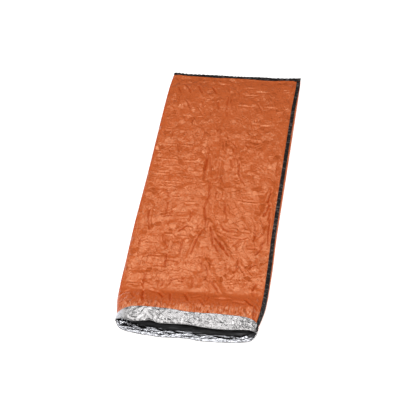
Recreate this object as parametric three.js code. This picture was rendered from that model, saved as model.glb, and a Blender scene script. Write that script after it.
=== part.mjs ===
// An emergency sleeping bag, lying on its back with the mouth propped open.
// One sheet of film, orange outside and silver inside, is folded along its left edge,
// closed down the right edge under a black tape and across the foot under a black
// binding. The rim of the mouth is turned back outwards all round, as a cuff.
// Millimetres. X runs across the bag, Y towards the foot, Z up.
import * as THREE from 'three';

// ---- Driving sizes -------------------------------------------------------------
const LENGTH = 2090;           // foot seam to the front of the lower lip
const FILM = 1.2;              // thickness of the film as a solid
const HALF = FILM / 2;
const GAP = 0.3;               // between two pieces that touch
const TAPE_THICKNESS = 1.2;
const SEAM_DEPTH = 30;         // the two layers are stitched flat this far from the foot
const SEAM_SPACE = 0.6;        // between the two layers inside that seam
const SEAM_CLEARANCE = 1.2;    // from the foot seam to the fold of its binding
const RIM_RADIUS = 3;          // of the film's turn at the mouth
const CUFF_LIFT = 3.2;         // film to cuff, centre to centre, at the cuff's free edge
const FALL_LENGTH = 80;        // in which the lower layer comes down from its cuff
const FOOT_FALL_LENGTH = 50;   // in which it comes down from the foot binding
const MOUTH_START = 1700;      // from here the rows of the mesh fan out to meet the rim
const RIM_TIP = 2019;          // foot seam to the film's turn at both tips of the mouth
const RAMP_SKEW = 18;          // the rise to the mouth comes sooner on the right by this much

// ---- Tables --------------------------------------------------------------------
// Sections of the bag, at distances from the foot seam: the two side edges, the height
// of those edges, the height of the upper layer's crest, the widths in which the upper
// and the lower layer round off towards the edges, and how far in from the right edge the
// side tape's own two edges lie, seen from above.
const SECTIONS = [
  { at: 0, left: -444, right: 448, edge: 3.0, crest: 3.9, shoulder: 4, belly: 4, tapeOut: 4, tapeIn: 27 },
  { at: 32, left: -448, right: 452, edge: 3.0, crest: 3.9, shoulder: 4, belly: 4, tapeOut: 4, tapeIn: 27 },
  { at: 66, left: -450, right: 454, edge: 4.5, crest: 9, shoulder: 14, belly: 10, tapeOut: 4, tapeIn: 27 },
  { at: 125, left: -453, right: 455, edge: 7, crest: 16, shoulder: 24, belly: 16, tapeOut: 5, tapeIn: 28 },
  { at: 300, left: -456, right: 456, edge: 8.5, crest: 21, shoulder: 30, belly: 20, tapeOut: 10, tapeIn: 33 },
  { at: 900, left: -454, right: 456, edge: 9, crest: 23, shoulder: 32, belly: 20, tapeOut: 10, tapeIn: 33 },
  { at: 1300, left: -457, right: 455, edge: 9, crest: 25, shoulder: 34, belly: 20, tapeOut: 8, tapeIn: 31 },
  { at: 1600, left: -452, right: 461, edge: 9.5, crest: 27, shoulder: 36, belly: 20, tapeOut: 7, tapeIn: 30 },
  { at: 1700, left: -451, right: 461, edge: 10.5, crest: 30, shoulder: 42, belly: 22, tapeOut: 6, tapeIn: 29 },
  { at: 1780, left: -448, right: 460, edge: 13, crest: 37, shoulder: 56, belly: 28, tapeOut: 5, tapeIn: 28 },
  { at: 1845, left: -443, right: 457, edge: 18, crest: 64, shoulder: 88, belly: 45, tapeOut: 4, tapeIn: 25 },
  { at: 1905, left: -435, right: 449, edge: 24, crest: 86, shoulder: 112, belly: 70, tapeOut: 3, tapeIn: 21 },
  { at: 1950, left: -424, right: 440, edge: 29, crest: 90, shoulder: 125, belly: 95, tapeOut: 2, tapeIn: 18 },
  { at: 1990, left: -416, right: 430, edge: 32, crest: 83, shoulder: 130, belly: 105, tapeOut: 2, tapeIn: 17 },
  { at: 2030, left: -415, right: 427, edge: 34, crest: 71, shoulder: 130, belly: 110, tapeOut: 2, tapeIn: 17 },
];

// The mouth, from its left tip (across = -1) to its right tip (across = 1). For each
// layer: the distance from the foot seam at which the film turns outwards, and the
// distance of the free edge of the cuff that it turns back as.
const MOUTH = [
  { across: -1.00, upper: RIM_TIP, upperEdge: 1984, lower: RIM_TIP, lowerEdge: 1984 },
  { across: -0.97, upper: 2017, upperEdge: 1979, lower: 2041, lowerEdge: 1992 },
  { across: -0.92, upper: 2017, upperEdge: 1969, lower: 2057, lowerEdge: 2000 },
  { across: -0.84, upper: 2023, upperEdge: 1955, lower: 2066, lowerEdge: 2008 },
  { across: -0.72, upper: 2030, upperEdge: 1944, lower: 2072, lowerEdge: 2012 },
  { across: -0.60, upper: 2025, upperEdge: 1940, lower: 2078, lowerEdge: 2016 },
  { across: -0.49, upper: 2016, upperEdge: 1940, lower: 2080, lowerEdge: 2018 },
  { across: -0.35, upper: 2028, upperEdge: 1940, lower: 2084, lowerEdge: 2020 },
  { across: -0.16, upper: 2024, upperEdge: 1944, lower: 2080, lowerEdge: 2020 },
  { across: 0.03, upper: 2021, upperEdge: 1952, lower: 2077, lowerEdge: 2020 },
  { across: 0.24, upper: 2028, upperEdge: 1950, lower: 2085, lowerEdge: 2021 },
  { across: 0.46, upper: 2033, upperEdge: 1947, lower: 2082, lowerEdge: 2020 },
  { across: 0.68, upper: 2028, upperEdge: 1948, lower: 2077, lowerEdge: 2016 },
  { across: 0.84, upper: 2019, upperEdge: 1950, lower: 2067, lowerEdge: 2010 },
  { across: 0.92, upper: 2015, upperEdge: 1958, lower: 2060, lowerEdge: 2002 },
  { across: 0.97, upper: 2015, upperEdge: 1970, lower: 2045, lowerEdge: 1994 },
  { across: 1.00, upper: RIM_TIP, upperEdge: 1984, lower: RIM_TIP, lowerEdge: 1984 },
];

// Main folds of the upper layer: ridges (height above 0) and troughs (below 0), each
// along a straight run from (x1, at1) to (x2, at2), with the half width of its bump.
const FOLDS = [
  { name: 'middle crease, foot end', x1: -24, at1: 60, x2: 8, at2: 640, width: 34, height: 3 },
  { name: 'middle crease, centre', x1: 8, at1: 620, x2: 26, at2: 1270, width: 38, height: 5 },
  { name: 'left branch', x1: 4, at1: 1255, x2: -56, at2: 1535, width: 34, height: 5 },
  { name: 'right branch', x1: 14, at1: 1262, x2: 186, at2: 1515, width: 34, height: 6 },
  { name: 'middle crease, mouth end', x1: 33, at1: 1470, x2: 74, at2: 1745, width: 36, height: 6 },
  { name: 'branch to the mouth', x1: 54, at1: 1560, x2: 192, at2: 1795, width: 36, height: 6 },
  { name: 'hollow left of the middle', x1: -100, at1: 715, x2: -44, at2: 930, width: 36, height: -4 },
  { name: 'hollow right of the middle', x1: 26, at1: 745, x2: 78, at2: 950, width: 36, height: -4 },
  { name: 'pucker beside the tape', x1: 384, at1: 940, x2: 346, at2: 1190, width: 32, height: 6 },
  { name: 'long pucker by the tape', x1: 386, at1: 1090, x2: 410, at2: 1420, width: 30, height: 4 },
  { name: 'left packing crease', x1: -384, at1: 1150, x2: -352, at2: 1390, width: 34, height: 4 },
  { name: 'left box, far side', x1: -400, at1: 1562, x2: -210, at2: 1550, width: 36, height: 4 },
  { name: 'left box, near side', x1: -400, at1: 1676, x2: -190, at2: 1668, width: 36, height: 4 },
  { name: 'first cross crease', x1: -420, at1: 275, x2: 420, at2: 262, width: 44, height: 3 },
  { name: 'second cross crease', x1: -420, at1: 524, x2: 300, at2: 508, width: 44, height: 3 },
  { name: 'third cross crease', x1: -420, at1: 776, x2: 420, at2: 758, width: 44, height: 3 },
  { name: 'fourth cross crease', x1: -420, at1: 1012, x2: 420, at2: 1000, width: 44, height: 3 },
  { name: 'fifth cross crease', x1: -420, at1: 1250, x2: 420, at2: 1240, width: 44, height: 3 },
  { name: 'edge of the mouth crest', x1: 394, at1: 1870, x2: 408, at2: 1985, width: 22, height: 6 },
];

// The foot seam from left to right: how far it stands out past its mean line.
const SEAM_LINE = [
  { x: -445, out: 1 },
  { x: -410, out: 4 },
  { x: -330, out: 0 },
  { x: -156, out: 1 },
  { x: 16, out: -2 },
  { x: 185, out: 2 },
  { x: 270, out: -1 },
  { x: 350, out: 2 },
  { x: 400, out: 6 },
  { x: 456, out: 12 },
];

// The foot binding from left to right: how far each of its two legs reaches in from
// the seam. The upper leg's edge wanders; at the right corner it meets the side tape.
const BINDING_LEGS = [
  { x: -446, upper: 13, lower: 16 },
  { x: -325, upper: 15, lower: 18 },
  { x: -200, upper: 19, lower: 15 },
  { x: -140, upper: 22, lower: 16 },
  { x: -60, upper: 17, lower: 19 },
  { x: 20, upper: 16, lower: 17 },
  { x: 110, upper: 20, lower: 14 },
  { x: 195, upper: 26, lower: 16 },
  { x: 280, upper: 22, lower: 18 },
  { x: 345, upper: 19, lower: 17 },
  { x: 395, upper: 21, lower: 15 },
  { x: 425, upper: SEAM_DEPTH - 0.5, lower: 15 },
  { x: 458, upper: SEAM_DEPTH - 0.5, lower: 16 },
];

// ---- Mesh layout ---------------------------------------------------------------
// Columns in from each edge of the upper layer: a share of the bare strip outside the
// tape, then a share of the tape's own width, then millimetres beyond it.
const EDGE_STEPS = [
  { bare: 0, tape: 0, beyond: 0 },
  { bare: 0.35, tape: 0, beyond: 0 },
  { bare: 1, tape: 0, beyond: 0 },
  { bare: 1, tape: 0.5, beyond: 0 },
  { bare: 1, tape: 1, beyond: 0 },
  { bare: 1, tape: 1, beyond: 27 },
];
const BELLY_STEPS = [2, 7, 20, 45, 80];   // millimetres in from each edge of the lower layer
const CROWN_COLUMNS = 23;                 // upper layer, between its edge columns
const BELLY_COLUMNS = 16;                 // lower layer, between its edge columns
const SEAM_ROWS = [0, SEAM_DEPTH / 2, SEAM_DEPTH];
const FOOT_ROWS = [50, 85, 135, 205];
const BODY_ROWS = 16;                     // from the foot rows to MOUTH_START
const FAN_ROWS = 6;                       // from MOUTH_START to the cuff's free edge
const CUFF_ROWS = 3;                      // from there to the rim
const RIM_STEPS = 3;                      // around the turn of the film
const BINDING_STATIONS = 34;
const BINDING_BEVEL = 0.8;                // along the two outer corners of the binding's fold
const CORNER_OVERHANG = 3;                // of the binding past the bag's right corner

// ---- Small helpers -------------------------------------------------------------
const clamp = (value, low, high) => Math.min(high, Math.max(low, value));
const mix = (a, b, part) => a + (b - a) * part;
const ease = (part) => part * part * (3 - 2 * part);

// Slope of a table at one of its rows, levelled at a peak or hollow, so that the curve
// through the rows never swings past them.
function slopeAt(rows, key, column, index) {
  if (index === 0 || index === rows.length - 1) return 0;
  const rise = (i) => (rows[i + 1][column] - rows[i][column]) / (rows[i + 1][key] - rows[i][key]);
  const before = rise(index - 1);
  const after = rise(index);
  return before * after > 0 ? (2 * before * after) / (before + after) : 0;
}

// Value of one column of a table, on a smooth curve through its rows.
function read(rows, key, column, position) {
  const last = rows.length - 1;
  const where = clamp(position, rows[0][key], rows[last][key]);
  let index = 0;
  while (index < last - 1 && rows[index + 1][key] < where) index += 1;
  const from = rows[index];
  const to = rows[index + 1];
  const span = to[key] - from[key];
  const part = (where - from[key]) / span;
  const leave = slopeAt(rows, key, column, index) * span * part * (1 - part) ** 2;
  const arrive = slopeAt(rows, key, column, index + 1) * span * part ** 2 * (1 - part);
  return mix(from[column], to[column], ease(part)) + leave - arrive;
}

// Quarter ellipse: 0 at the edge, 1 from the given width inwards.
const quarter = (inwards, width) => Math.sqrt(1 - (1 - clamp(inwards / width, 0, 1)) ** 2);

// Height that the main folds add at one place: a rounded bump across each run, which
// dies away at the run's two ends.
function foldHeight(x, at) {
  return FOLDS.reduce((sum, fold) => {
    const runX = fold.x2 - fold.x1;
    const runAt = fold.at2 - fold.at1;
    const part = ((x - fold.x1) * runX + (at - fold.at1) * runAt) / (runX ** 2 + runAt ** 2);
    const along = clamp(part, 0, 1);
    const away = Math.hypot(x - fold.x1 - along * runX, at - fold.at1 - along * runAt);
    const across = clamp(1 - (away / fold.width) ** 2, 0, 1);
    return sum + fold.height * across ** 2;
  }, 0);
}

// ---- The film's middle surface -------------------------------------------------
// One column for each place around the loop of film: the upper layer from left to right,
// then the lower layer from right to left. step is its distance in from the left or the
// right edge; share places a column between the two innermost steps.
function loopColumns() {
  const upper = EDGE_STEPS.map((step) => ({ layer: 'upper', side: 'left', step }));
  const lower = BELLY_STEPS.map((step) => ({ layer: 'lower', side: 'right', step: beyondEdge(step) }));
  for (let i = 1; i < CROWN_COLUMNS; i += 1) {
    upper.push({ layer: 'upper', share: i / CROWN_COLUMNS, step: EDGE_STEPS.at(-1) });
  }
  for (let i = 1; i < BELLY_COLUMNS; i += 1) {
    lower.push({ layer: 'lower', share: 1 - i / BELLY_COLUMNS, step: beyondEdge(BELLY_STEPS.at(-1)) });
  }
  [...EDGE_STEPS].reverse().forEach((step) => upper.push({ layer: 'upper', side: 'right', step }));
  [...BELLY_STEPS].reverse().forEach((step) => {
    lower.push({ layer: 'lower', side: 'left', step: beyondEdge(step) });
  });
  return [...upper, ...lower];
}

function beyondEdge(distance) {
  return { bare: 0, tape: 0, beyond: distance };
}

function acrossBag(column, at) {
  const left = read(SECTIONS, 'at', 'left', at);
  const right = read(SECTIONS, 'at', 'right', at);
  const bare = read(SECTIONS, 'at', 'tapeOut', at);
  const width = read(SECTIONS, 'at', 'tapeIn', at) - bare;
  const inwards = column.step.bare * bare + column.step.tape * width + column.step.beyond;
  if (column.side === 'left') return left + inwards;
  if (column.side === 'right') return right - inwards;
  return mix(left + inwards, right - inwards, column.share);
}

// Lift of the lower layer off the surface: over the foot binding, and over its own cuff.
function bellyLift(at, rim, cuff) {
  const overBinding = TAPE_THICKNESS + GAP;
  const fromSeam = clamp((at - SEAM_DEPTH) / FOOT_FALL_LENGTH, 0, 1);
  const atFoot = overBinding * (1 - ease(fromSeam));
  const fromCuff = clamp((rim - cuff - at) / FALL_LENGTH, 0, 1);
  const overCuff = at > rim - cuff ? cuffLift((rim - at) / cuff) : CUFF_LIFT * (1 - ease(fromCuff));
  return Math.max(atFoot, overCuff);
}

// Distance from the film to its cuff, from the rim (0) to the cuff's free edge (1).
function cuffLift(share) {
  return mix(2 * RIM_RADIUS, CUFF_LIFT, share);
}

function middlePoint(column, at, rim, cuff) {
  const x = acrossBag(column, at);
  const left = read(SECTIONS, 'at', 'left', at);
  const right = read(SECTIONS, 'at', 'right', at);
  const inwards = Math.min(x - left, right - x);
  const edge = read(SECTIONS, 'at', 'edge', at);
  const y = LENGTH - at + read(SEAM_LINE, 'x', 'out', x) * (1 - clamp(at / FOOT_ROWS.at(-1), 0, 1));
  if (column.layer === 'lower') {
    const low = HALF + bellyLift(at, rim, cuff);
    return new THREE.Vector3(x, y, mix(edge, low, quarter(inwards, read(SECTIONS, 'at', 'belly', at))));
  }
  const shoulder = quarter(inwards, read(SECTIONS, 'at', 'shoulder', at));
  const body = ease(clamp((at - SEAM_DEPTH) / FOOT_FALL_LENGTH, 0, 1)) * shoulder;
  const ramp = at * (1 + (RAMP_SKEW / LENGTH) * (x / right));
  const crest = mix(edge, read(SECTIONS, 'at', 'crest', ramp), shoulder);
  return new THREE.Vector3(x, y, crest + foldHeight(x, at) * body);
}

// Rows of the middle surface from the foot seam to the rim. The rows share one distance
// from the foot up to MOUTH_START; past it each column has its own rim and cuff.
function middleGrid(columns) {
  const bodyStart = FOOT_ROWS.at(-1);
  const shared = [...SEAM_ROWS, ...FOOT_ROWS];
  for (let i = 1; i <= BODY_ROWS; i += 1) shared.push(mix(bodyStart, MOUTH_START, i / BODY_ROWS));
  const mouth = columns.map((column) => {
    const left = read(SECTIONS, 'at', 'left', RIM_TIP);
    const right = read(SECTIONS, 'at', 'right', RIM_TIP);
    const across = (2 * (acrossBag(column, RIM_TIP) - left)) / (right - left) - 1;
    const rim = read(MOUTH, 'across', column.layer, across);
    return { rim, cuff: rim - read(MOUTH, 'across', `${column.layer}Edge`, across) };
  });
  const row = (distance) => columns.map((column, k) => {
    return middlePoint(column, distance(mouth[k]), mouth[k].rim, mouth[k].cuff);
  });
  const grid = shared.map((at) => row(() => at));
  for (let i = 1; i <= FAN_ROWS; i += 1) {
    grid.push(row(({ rim, cuff }) => mix(MOUTH_START, rim - cuff, i / FAN_ROWS)));
  }
  for (let i = 1; i <= CUFF_ROWS; i += 1) {
    grid.push(row(({ rim, cuff }) => rim - cuff * (1 - i / CUFF_ROWS)));
  }
  return grid;
}

// Outward direction at each point of the grid, from its neighbours.
function outwardGrid(grid) {
  return grid.map((row, i) => row.map((point, k) => {
    const before = grid[Math.max(i - 1, 0)][k];
    const after = grid[Math.min(i + 1, grid.length - 1)][k];
    const around = row[(k + 1) % row.length].clone().sub(row[(k + row.length - 1) % row.length]);
    return around.cross(after.clone().sub(before)).normalize().negate();
  }));
}

const COLUMNS = loopColumns();
const MIDDLE = middleGrid(COLUMNS);
const OUTWARD = outwardGrid(MIDDLE);
const RIM_ROW = MIDDLE.length - 1;
const FREE_EDGE_ROW = RIM_ROW - CUFF_ROWS;
const SEAM_ROW = SEAM_ROWS.length - 1;
const RIGHT_EDGE = COLUMNS.findIndex((column) => column.layer === 'lower') - 1;

// A point of the grid moved outwards. Nothing lies below the surface under the bag.
function offsetPoint(row, column, outwards) {
  const point = MIDDLE[row][column].clone().addScaledVector(OUTWARD[row][column], outwards);
  point.z = Math.max(point.z, 0);
  return point;
}

const offsetRing = (row, outwards) => COLUMNS.map((_, k) => offsetPoint(row, k, outwards));

// Ring of the rounded turn at the mouth: turn runs from the inner layer (-1) over the
// front (0) to the cuff (1), on the silver side (radius + HALF) or the orange side.
function rimRing(turn, radius) {
  return COLUMNS.map((_, k) => {
    const forward = MIDDLE[RIM_ROW][k].clone().sub(MIDDLE[RIM_ROW - 1][k]).normalize();
    const angle = (turn * Math.PI) / 2;
    const point = offsetPoint(RIM_ROW, k, RIM_RADIUS + radius * Math.sin(angle));
    point.addScaledVector(forward, radius * Math.cos(angle));
    point.z = Math.max(point.z, 0);
    return point;
  });
}

// ---- Mesh makers ---------------------------------------------------------------
function meshGeometry(points, faces) {
  const geometry = new THREE.BufferGeometry();
  geometry.setAttribute('position', new THREE.Float32BufferAttribute(points.flatMap((p) => p.toArray()), 3));
  geometry.setIndex(faces.flat());
  geometry.computeVertexNormals();
  return geometry;
}

// Skin over a list of closed rings. capFaces gives the triangles that close an end ring,
// in the ring's own turning direction.
function loftGeometry(rings, capFaces) {
  const around = rings[0].length;
  const lastStart = (rings.length - 1) * around;
  const faces = capFaces(rings[0]).map(([a, b, c]) => [a, c, b]);
  for (let i = 0; i < rings.length - 1; i += 1) {
    for (let k = 0; k < around; k += 1) {
      const here = i * around + k;
      const beside = i * around + ((k + 1) % around);
      faces.push([here, beside, beside + around], [here, beside + around, here + around]);
    }
  }
  capFaces(rings.at(-1)).forEach((face) => faces.push(face.map((corner) => corner + lastStart)));
  const geometry = meshGeometry(rings.flat(), faces);
  return signedVolume(geometry) < 0 ? turnedOut(geometry) : geometry;
}

// Cap for a small section of tape: flatten gives the two numbers of its outline.
function outlineCap(flatten) {
  return (ring) => {
    const outline = ring.map((point) => new THREE.Vector2(...flatten(point)));
    const area = THREE.ShapeUtils.area(outline);
    return THREE.ShapeUtils.triangulateShape(outline, []).map(([a, b, c]) => {
      const sameWay = THREE.ShapeUtils.area([outline[a], outline[b], outline[c]]) * area > 0;
      return sameWay ? [a, b, c] : [a, c, b];
    });
  };
}

// Cap for a ring of the film: a ladder of triangles between its two layers, so that the
// long narrow end stays true to the seam's line.
function layeredCap(ring) {
  const upper = ring.map((_, k) => k).slice(0, RIGHT_EDGE + 1);
  const lower = [0, ...ring.map((_, k) => k).slice(RIGHT_EDGE).reverse()];
  const faces = [];
  let i = 0;
  let j = 0;
  while (i < upper.length - 1 || j < lower.length - 1) {
    const upperNext = i < upper.length - 1 ? ring[upper[i + 1]].x : Infinity;
    const lowerNext = j < lower.length - 1 ? ring[lower[j + 1]].x : Infinity;
    if (upperNext <= lowerNext) {
      faces.push([upper[i], upper[i + 1], lower[j]]);
      i += 1;
    } else {
      faces.push([upper[i], lower[j + 1], lower[j]]);
      j += 1;
    }
  }
  return faces.filter(([p, q, r]) => p !== q && q !== r && p !== r);
}

function signedVolume(geometry) {
  const place = geometry.getAttribute('position');
  const order = geometry.getIndex().array;
  const corner = (i) => new THREE.Vector3().fromBufferAttribute(place, order[i]);
  let volume = 0;
  for (let i = 0; i < order.length; i += 3) {
    volume += corner(i).dot(corner(i + 1).cross(corner(i + 2))) / 6;
  }
  return volume;
}

function turnedOut(geometry) {
  const order = Array.from(geometry.getIndex().array);
  for (let i = 0; i < order.length; i += 3) [order[i + 1], order[i + 2]] = [order[i + 2], order[i + 1]];
  geometry.setIndex(order);
  geometry.computeVertexNormals();
  return geometry;
}

function piece(name, geometry, material) {
  const mesh = new THREE.Mesh(geometry, material);
  mesh.name = name;
  return mesh;
}

// ---- The pieces ----------------------------------------------------------------
// The film: from the inner end of the foot seam forwards along the silver inside, round
// the rim, back over the cuff, round its free edge, and home along the orange outside.
function shellGeometry() {
  const rings = [];
  for (let row = SEAM_ROW; row <= RIM_ROW; row += 1) rings.push(offsetRing(row, -HALF));
  for (let i = 1; i < RIM_STEPS; i += 1) rings.push(rimRing((2 * i) / RIM_STEPS - 1, RIM_RADIUS + HALF));
  for (let i = 0; i <= CUFF_ROWS; i += 1) rings.push(offsetRing(RIM_ROW - i, cuffLift(i / CUFF_ROWS) + HALF));
  for (let i = CUFF_ROWS; i >= 0; i -= 1) rings.push(offsetRing(RIM_ROW - i, cuffLift(i / CUFF_ROWS) - HALF));
  for (let i = RIM_STEPS - 1; i > 0; i -= 1) rings.push(rimRing((2 * i) / RIM_STEPS - 1, RIM_RADIUS - HALF));
  for (let row = RIM_ROW; row >= 0; row -= 1) rings.push(offsetRing(row, HALF));
  return loftGeometry(rings, layeredCap);
}

// A strip of tape that lies on the film: rings around its own section, row by row.
function stripGeometry(columns, rows, outwards) {
  const rings = rows.map(({ row, lift }) => {
    const under = columns.map((k) => offsetPoint(row, k, lift + outwards));
    const over = columns.map((k) => offsetPoint(row, k, lift + outwards + TAPE_THICKNESS));
    return [...under, ...over.reverse()];
  });
  return loftGeometry(rings, outlineCap((point) => [point.x, point.z]));
}

// The side tape: along the right edge from the foot binding, a little way in under the
// cuff. It lies on three columns of the film's own mesh, so the two run parallel.
function sideTapeGeometry() {
  const rows = [];
  for (let row = FREE_EDGE_ROW + 1; row >= SEAM_ROW; row -= 1) rows.push({ row, lift: 0 });
  return stripGeometry([RIGHT_EDGE - 4, RIGHT_EDGE - 3, RIGHT_EDGE - 2], rows, HALF + GAP);
}

// The end of the tape's inner strip, which the turned-back cuff brings to the outside.
function sideTapeEndGeometry() {
  const rows = [0, 1, 2].map((step) => ({
    row: FREE_EDGE_ROW + step,
    lift: cuffLift((CUFF_ROWS - step) / CUFF_ROWS),
  }));
  return stripGeometry([RIGHT_EDGE - 3, RIGHT_EDGE - 2, RIGHT_EDGE - 1], rows, HALF + GAP);
}

// The foot binding: one tape folded over the seam.
function footBindingGeometry() {
  const low = TAPE_THICKNESS;
  const high = TAPE_THICKNESS + 2 * GAP + 2 * FILM + SEAM_SPACE;
  const height = high + TAPE_THICKNESS;
  const nose = SEAM_CLEARANCE + TAPE_THICKNESS;
  const rings = [];
  for (let i = 0; i <= BINDING_STATIONS; i += 1) {
    const x = mix(SECTIONS[0].left - 1, SECTIONS[0].right + CORNER_OVERHANG, i / BINDING_STATIONS);
    const seam = LENGTH + read(SEAM_LINE, 'x', 'out', x);
    const upperLeg = read(BINDING_LEGS, 'x', 'upper', x);
    const lowerLeg = read(BINDING_LEGS, 'x', 'lower', x);
    const profile = [
      [-lowerLeg, 0], [nose - BINDING_BEVEL, 0], [nose, BINDING_BEVEL],
      [nose, height - BINDING_BEVEL], [nose - BINDING_BEVEL, height], [-upperLeg, height],
      [-upperLeg, high], [SEAM_CLEARANCE, high], [SEAM_CLEARANCE, low], [-lowerLeg, low],
    ];
    rings.push(profile.map(([past, z]) => new THREE.Vector3(x, seam + past, z)));
  }
  return loftGeometry(rings, outlineCap((point) => [point.y, point.z]));
}

// ---- Materials -----------------------------------------------------------------
const film = new THREE.MeshStandardMaterial({ color: 0xc4612f, roughness: 0.42, metalness: 0 });
const tape = new THREE.MeshStandardMaterial({ color: 0x15171a, roughness: 0.85, metalness: 0 });

// ---- The bag, with its origin under the middle of its bounding box -----------------
const bag = new THREE.Group();
bag.add(piece('shell', shellGeometry(), film));
bag.add(piece('foot_binding', footBindingGeometry(), tape));
bag.add(piece('side_tape', sideTapeGeometry(), tape));
bag.add(piece('side_tape_end', sideTapeEndGeometry(), tape));

const extent = new THREE.Box3().setFromObject(bag);
const centre = extent.getCenter(new THREE.Vector3());
bag.position.set(-centre.x, -centre.y, -extent.min.z);

export default bag;
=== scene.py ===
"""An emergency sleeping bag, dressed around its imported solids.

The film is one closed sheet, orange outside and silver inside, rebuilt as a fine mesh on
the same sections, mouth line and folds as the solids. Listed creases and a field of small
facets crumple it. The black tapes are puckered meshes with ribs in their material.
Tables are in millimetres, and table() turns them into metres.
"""
import math
from types import SimpleNamespace

import bpy
import numpy as np
from mathutils import Matrix, Vector
from mathutils.bvhtree import BVHTree
from mathutils.geometry import delaunay_2d_cdt


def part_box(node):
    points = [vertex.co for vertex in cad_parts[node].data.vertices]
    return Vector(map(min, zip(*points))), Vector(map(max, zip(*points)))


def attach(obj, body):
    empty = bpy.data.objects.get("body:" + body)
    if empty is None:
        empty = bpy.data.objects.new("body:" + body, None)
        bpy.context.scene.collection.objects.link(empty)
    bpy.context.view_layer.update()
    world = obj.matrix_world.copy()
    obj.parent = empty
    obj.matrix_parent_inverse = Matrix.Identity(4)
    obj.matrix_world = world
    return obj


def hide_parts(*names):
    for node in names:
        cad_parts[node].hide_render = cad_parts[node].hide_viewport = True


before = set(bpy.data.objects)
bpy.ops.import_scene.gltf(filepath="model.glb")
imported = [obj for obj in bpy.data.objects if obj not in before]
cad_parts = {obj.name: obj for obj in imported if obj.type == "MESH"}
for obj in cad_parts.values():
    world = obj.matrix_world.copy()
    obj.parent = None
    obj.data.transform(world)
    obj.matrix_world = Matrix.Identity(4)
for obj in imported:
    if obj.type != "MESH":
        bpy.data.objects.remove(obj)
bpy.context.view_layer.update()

MM = 0.001

# ---- Driving sizes, as in the solids
FILM = 1.2 * MM
HALF = FILM / 2
GAP = 0.3 * MM
TAPE_THICKNESS = 1.2 * MM
SEAM_DEPTH = 30 * MM
SEAM_SPACE = 0.6 * MM
SEAM_CLEARANCE = 1.2 * MM
SEAM_FADE = 205 * MM           # the foot seam's wandering dies out in this distance
RIM_RADIUS = 3 * MM
CUFF_LIFT = 3.2 * MM           # of the cuff's free edge off the film under it
FALL_LENGTH = 80 * MM          # the lower layer comes down from its cuff in this length
FOOT_FALL_LENGTH = 50 * MM     # and from the foot binding in this
MOUTH_START = 1700 * MM
RIM_TIP = 2019 * MM            # the mouth's two corners
LENGTH = 2090 * MM
RAMP_SKEW = 18 * MM            # the rise behind the mouth runs this much aslant


def table(columns, *rows, plain=()):
    """Columns of numbers by name. All but the plain ones turn from millimetres to metres."""
    names = columns.split()
    values = np.array(rows, dtype=float)
    return {name: values[:, k] * (1 if name in plain else MM) for k, name in enumerate(names)}


def bent_runs(*lines):
    """A table of straight runs. Each line goes from point to point, and between two points
    stand the width and the depth of their run: x, at, width, depth, x, at and so on."""
    rows = [(*line[i:i + 2], *line[i + 4:i + 6], *line[i + 2:i + 4])
            for line in lines for i in range(0, len(line) - 2, 4)]
    return table("x1 at1 x2 at2 width depth", *rows)


SECTIONS = table(
    "at left right edge crest shoulder belly tape_out tape_in",
    (0, -444, 448, 3.0, 3.9, 4, 4, 2, 26),
    (32, -448, 452, 3.0, 3.9, 4, 4, 2, 26),
    (66, -450, 454, 4.5, 9, 14, 10, 2, 26),
    (125, -453, 455, 7, 16, 24, 16, 4, 27),
    (300, -456, 456, 8.5, 21, 30, 20, 10, 33),
    (900, -454, 456, 9, 23, 32, 20, 10, 33),
    (1300, -457, 455, 9, 25, 34, 20, 8, 31),
    (1600, -452, 461, 9.5, 27, 36, 20, 7, 30),
    (1700, -451, 461, 10.5, 30, 42, 22, 5, 28),
    (1780, -448, 460, 13, 37, 56, 28, 3.4, 26.5),
    (1845, -443, 457, 18, 64, 88, 45, 1.8, 23),
    (1905, -435, 449, 24, 86, 112, 70, 1, 19),
    (1950, -424, 440, 29, 90, 125, 95, 0.8, 17),
    (1990, -416, 430, 32, 83, 130, 105, 0.8, 16),
    (2030, -415, 427, 34, 71, 130, 110, 0.8, 16),
)

MOUTH = table(
    "across upper upper_edge lower lower_edge",
    (-1.00, 2019, 1984, 2019, 1984),
    (-0.97, 2017, 1979, 2041, 1992),
    (-0.92, 2017, 1969, 2057, 2000),
    (-0.84, 2023, 1955, 2066, 2008),
    (-0.72, 2030, 1944, 2072, 2012),
    (-0.60, 2025, 1940, 2078, 2016),
    (-0.49, 2016, 1940, 2080, 2018),
    (-0.35, 2028, 1940, 2084, 2020),
    (-0.16, 2024, 1944, 2080, 2020),
    (0.03, 2021, 1952, 2077, 2020),
    (0.24, 2028, 1950, 2085, 2021),
    (0.46, 2033, 1947, 2082, 2020),
    (0.68, 2028, 1948, 2077, 2016),
    (0.84, 2019, 1950, 2067, 2010),
    (0.92, 2015, 1958, 2060, 2002),
    (0.97, 2015, 1970, 2045, 1994),
    (1.00, 2019, 1984, 2019, 1984),
    plain=("across",),
)

SEAM_LINE = table(
    "x out",
    (-445, 1), (-410, 4), (-330, 0), (-156, 1), (16, -2), (185, 2), (270, -1), (350, 2),
    (400, 6), (456, 12),
)

BINDING_LEGS = table(
    "x upper lower",
    (-446, 13, 16), (-325, 15, 18), (-200, 19, 15), (-140, 22, 16), (-60, 17, 19), (20, 16, 17),
    (110, 20, 14), (195, 26, 16), (280, 22, 18), (345, 19, 17), (395, 21, 15),
    (425, 29.5, 15), (458, 29.5, 16),
)

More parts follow.
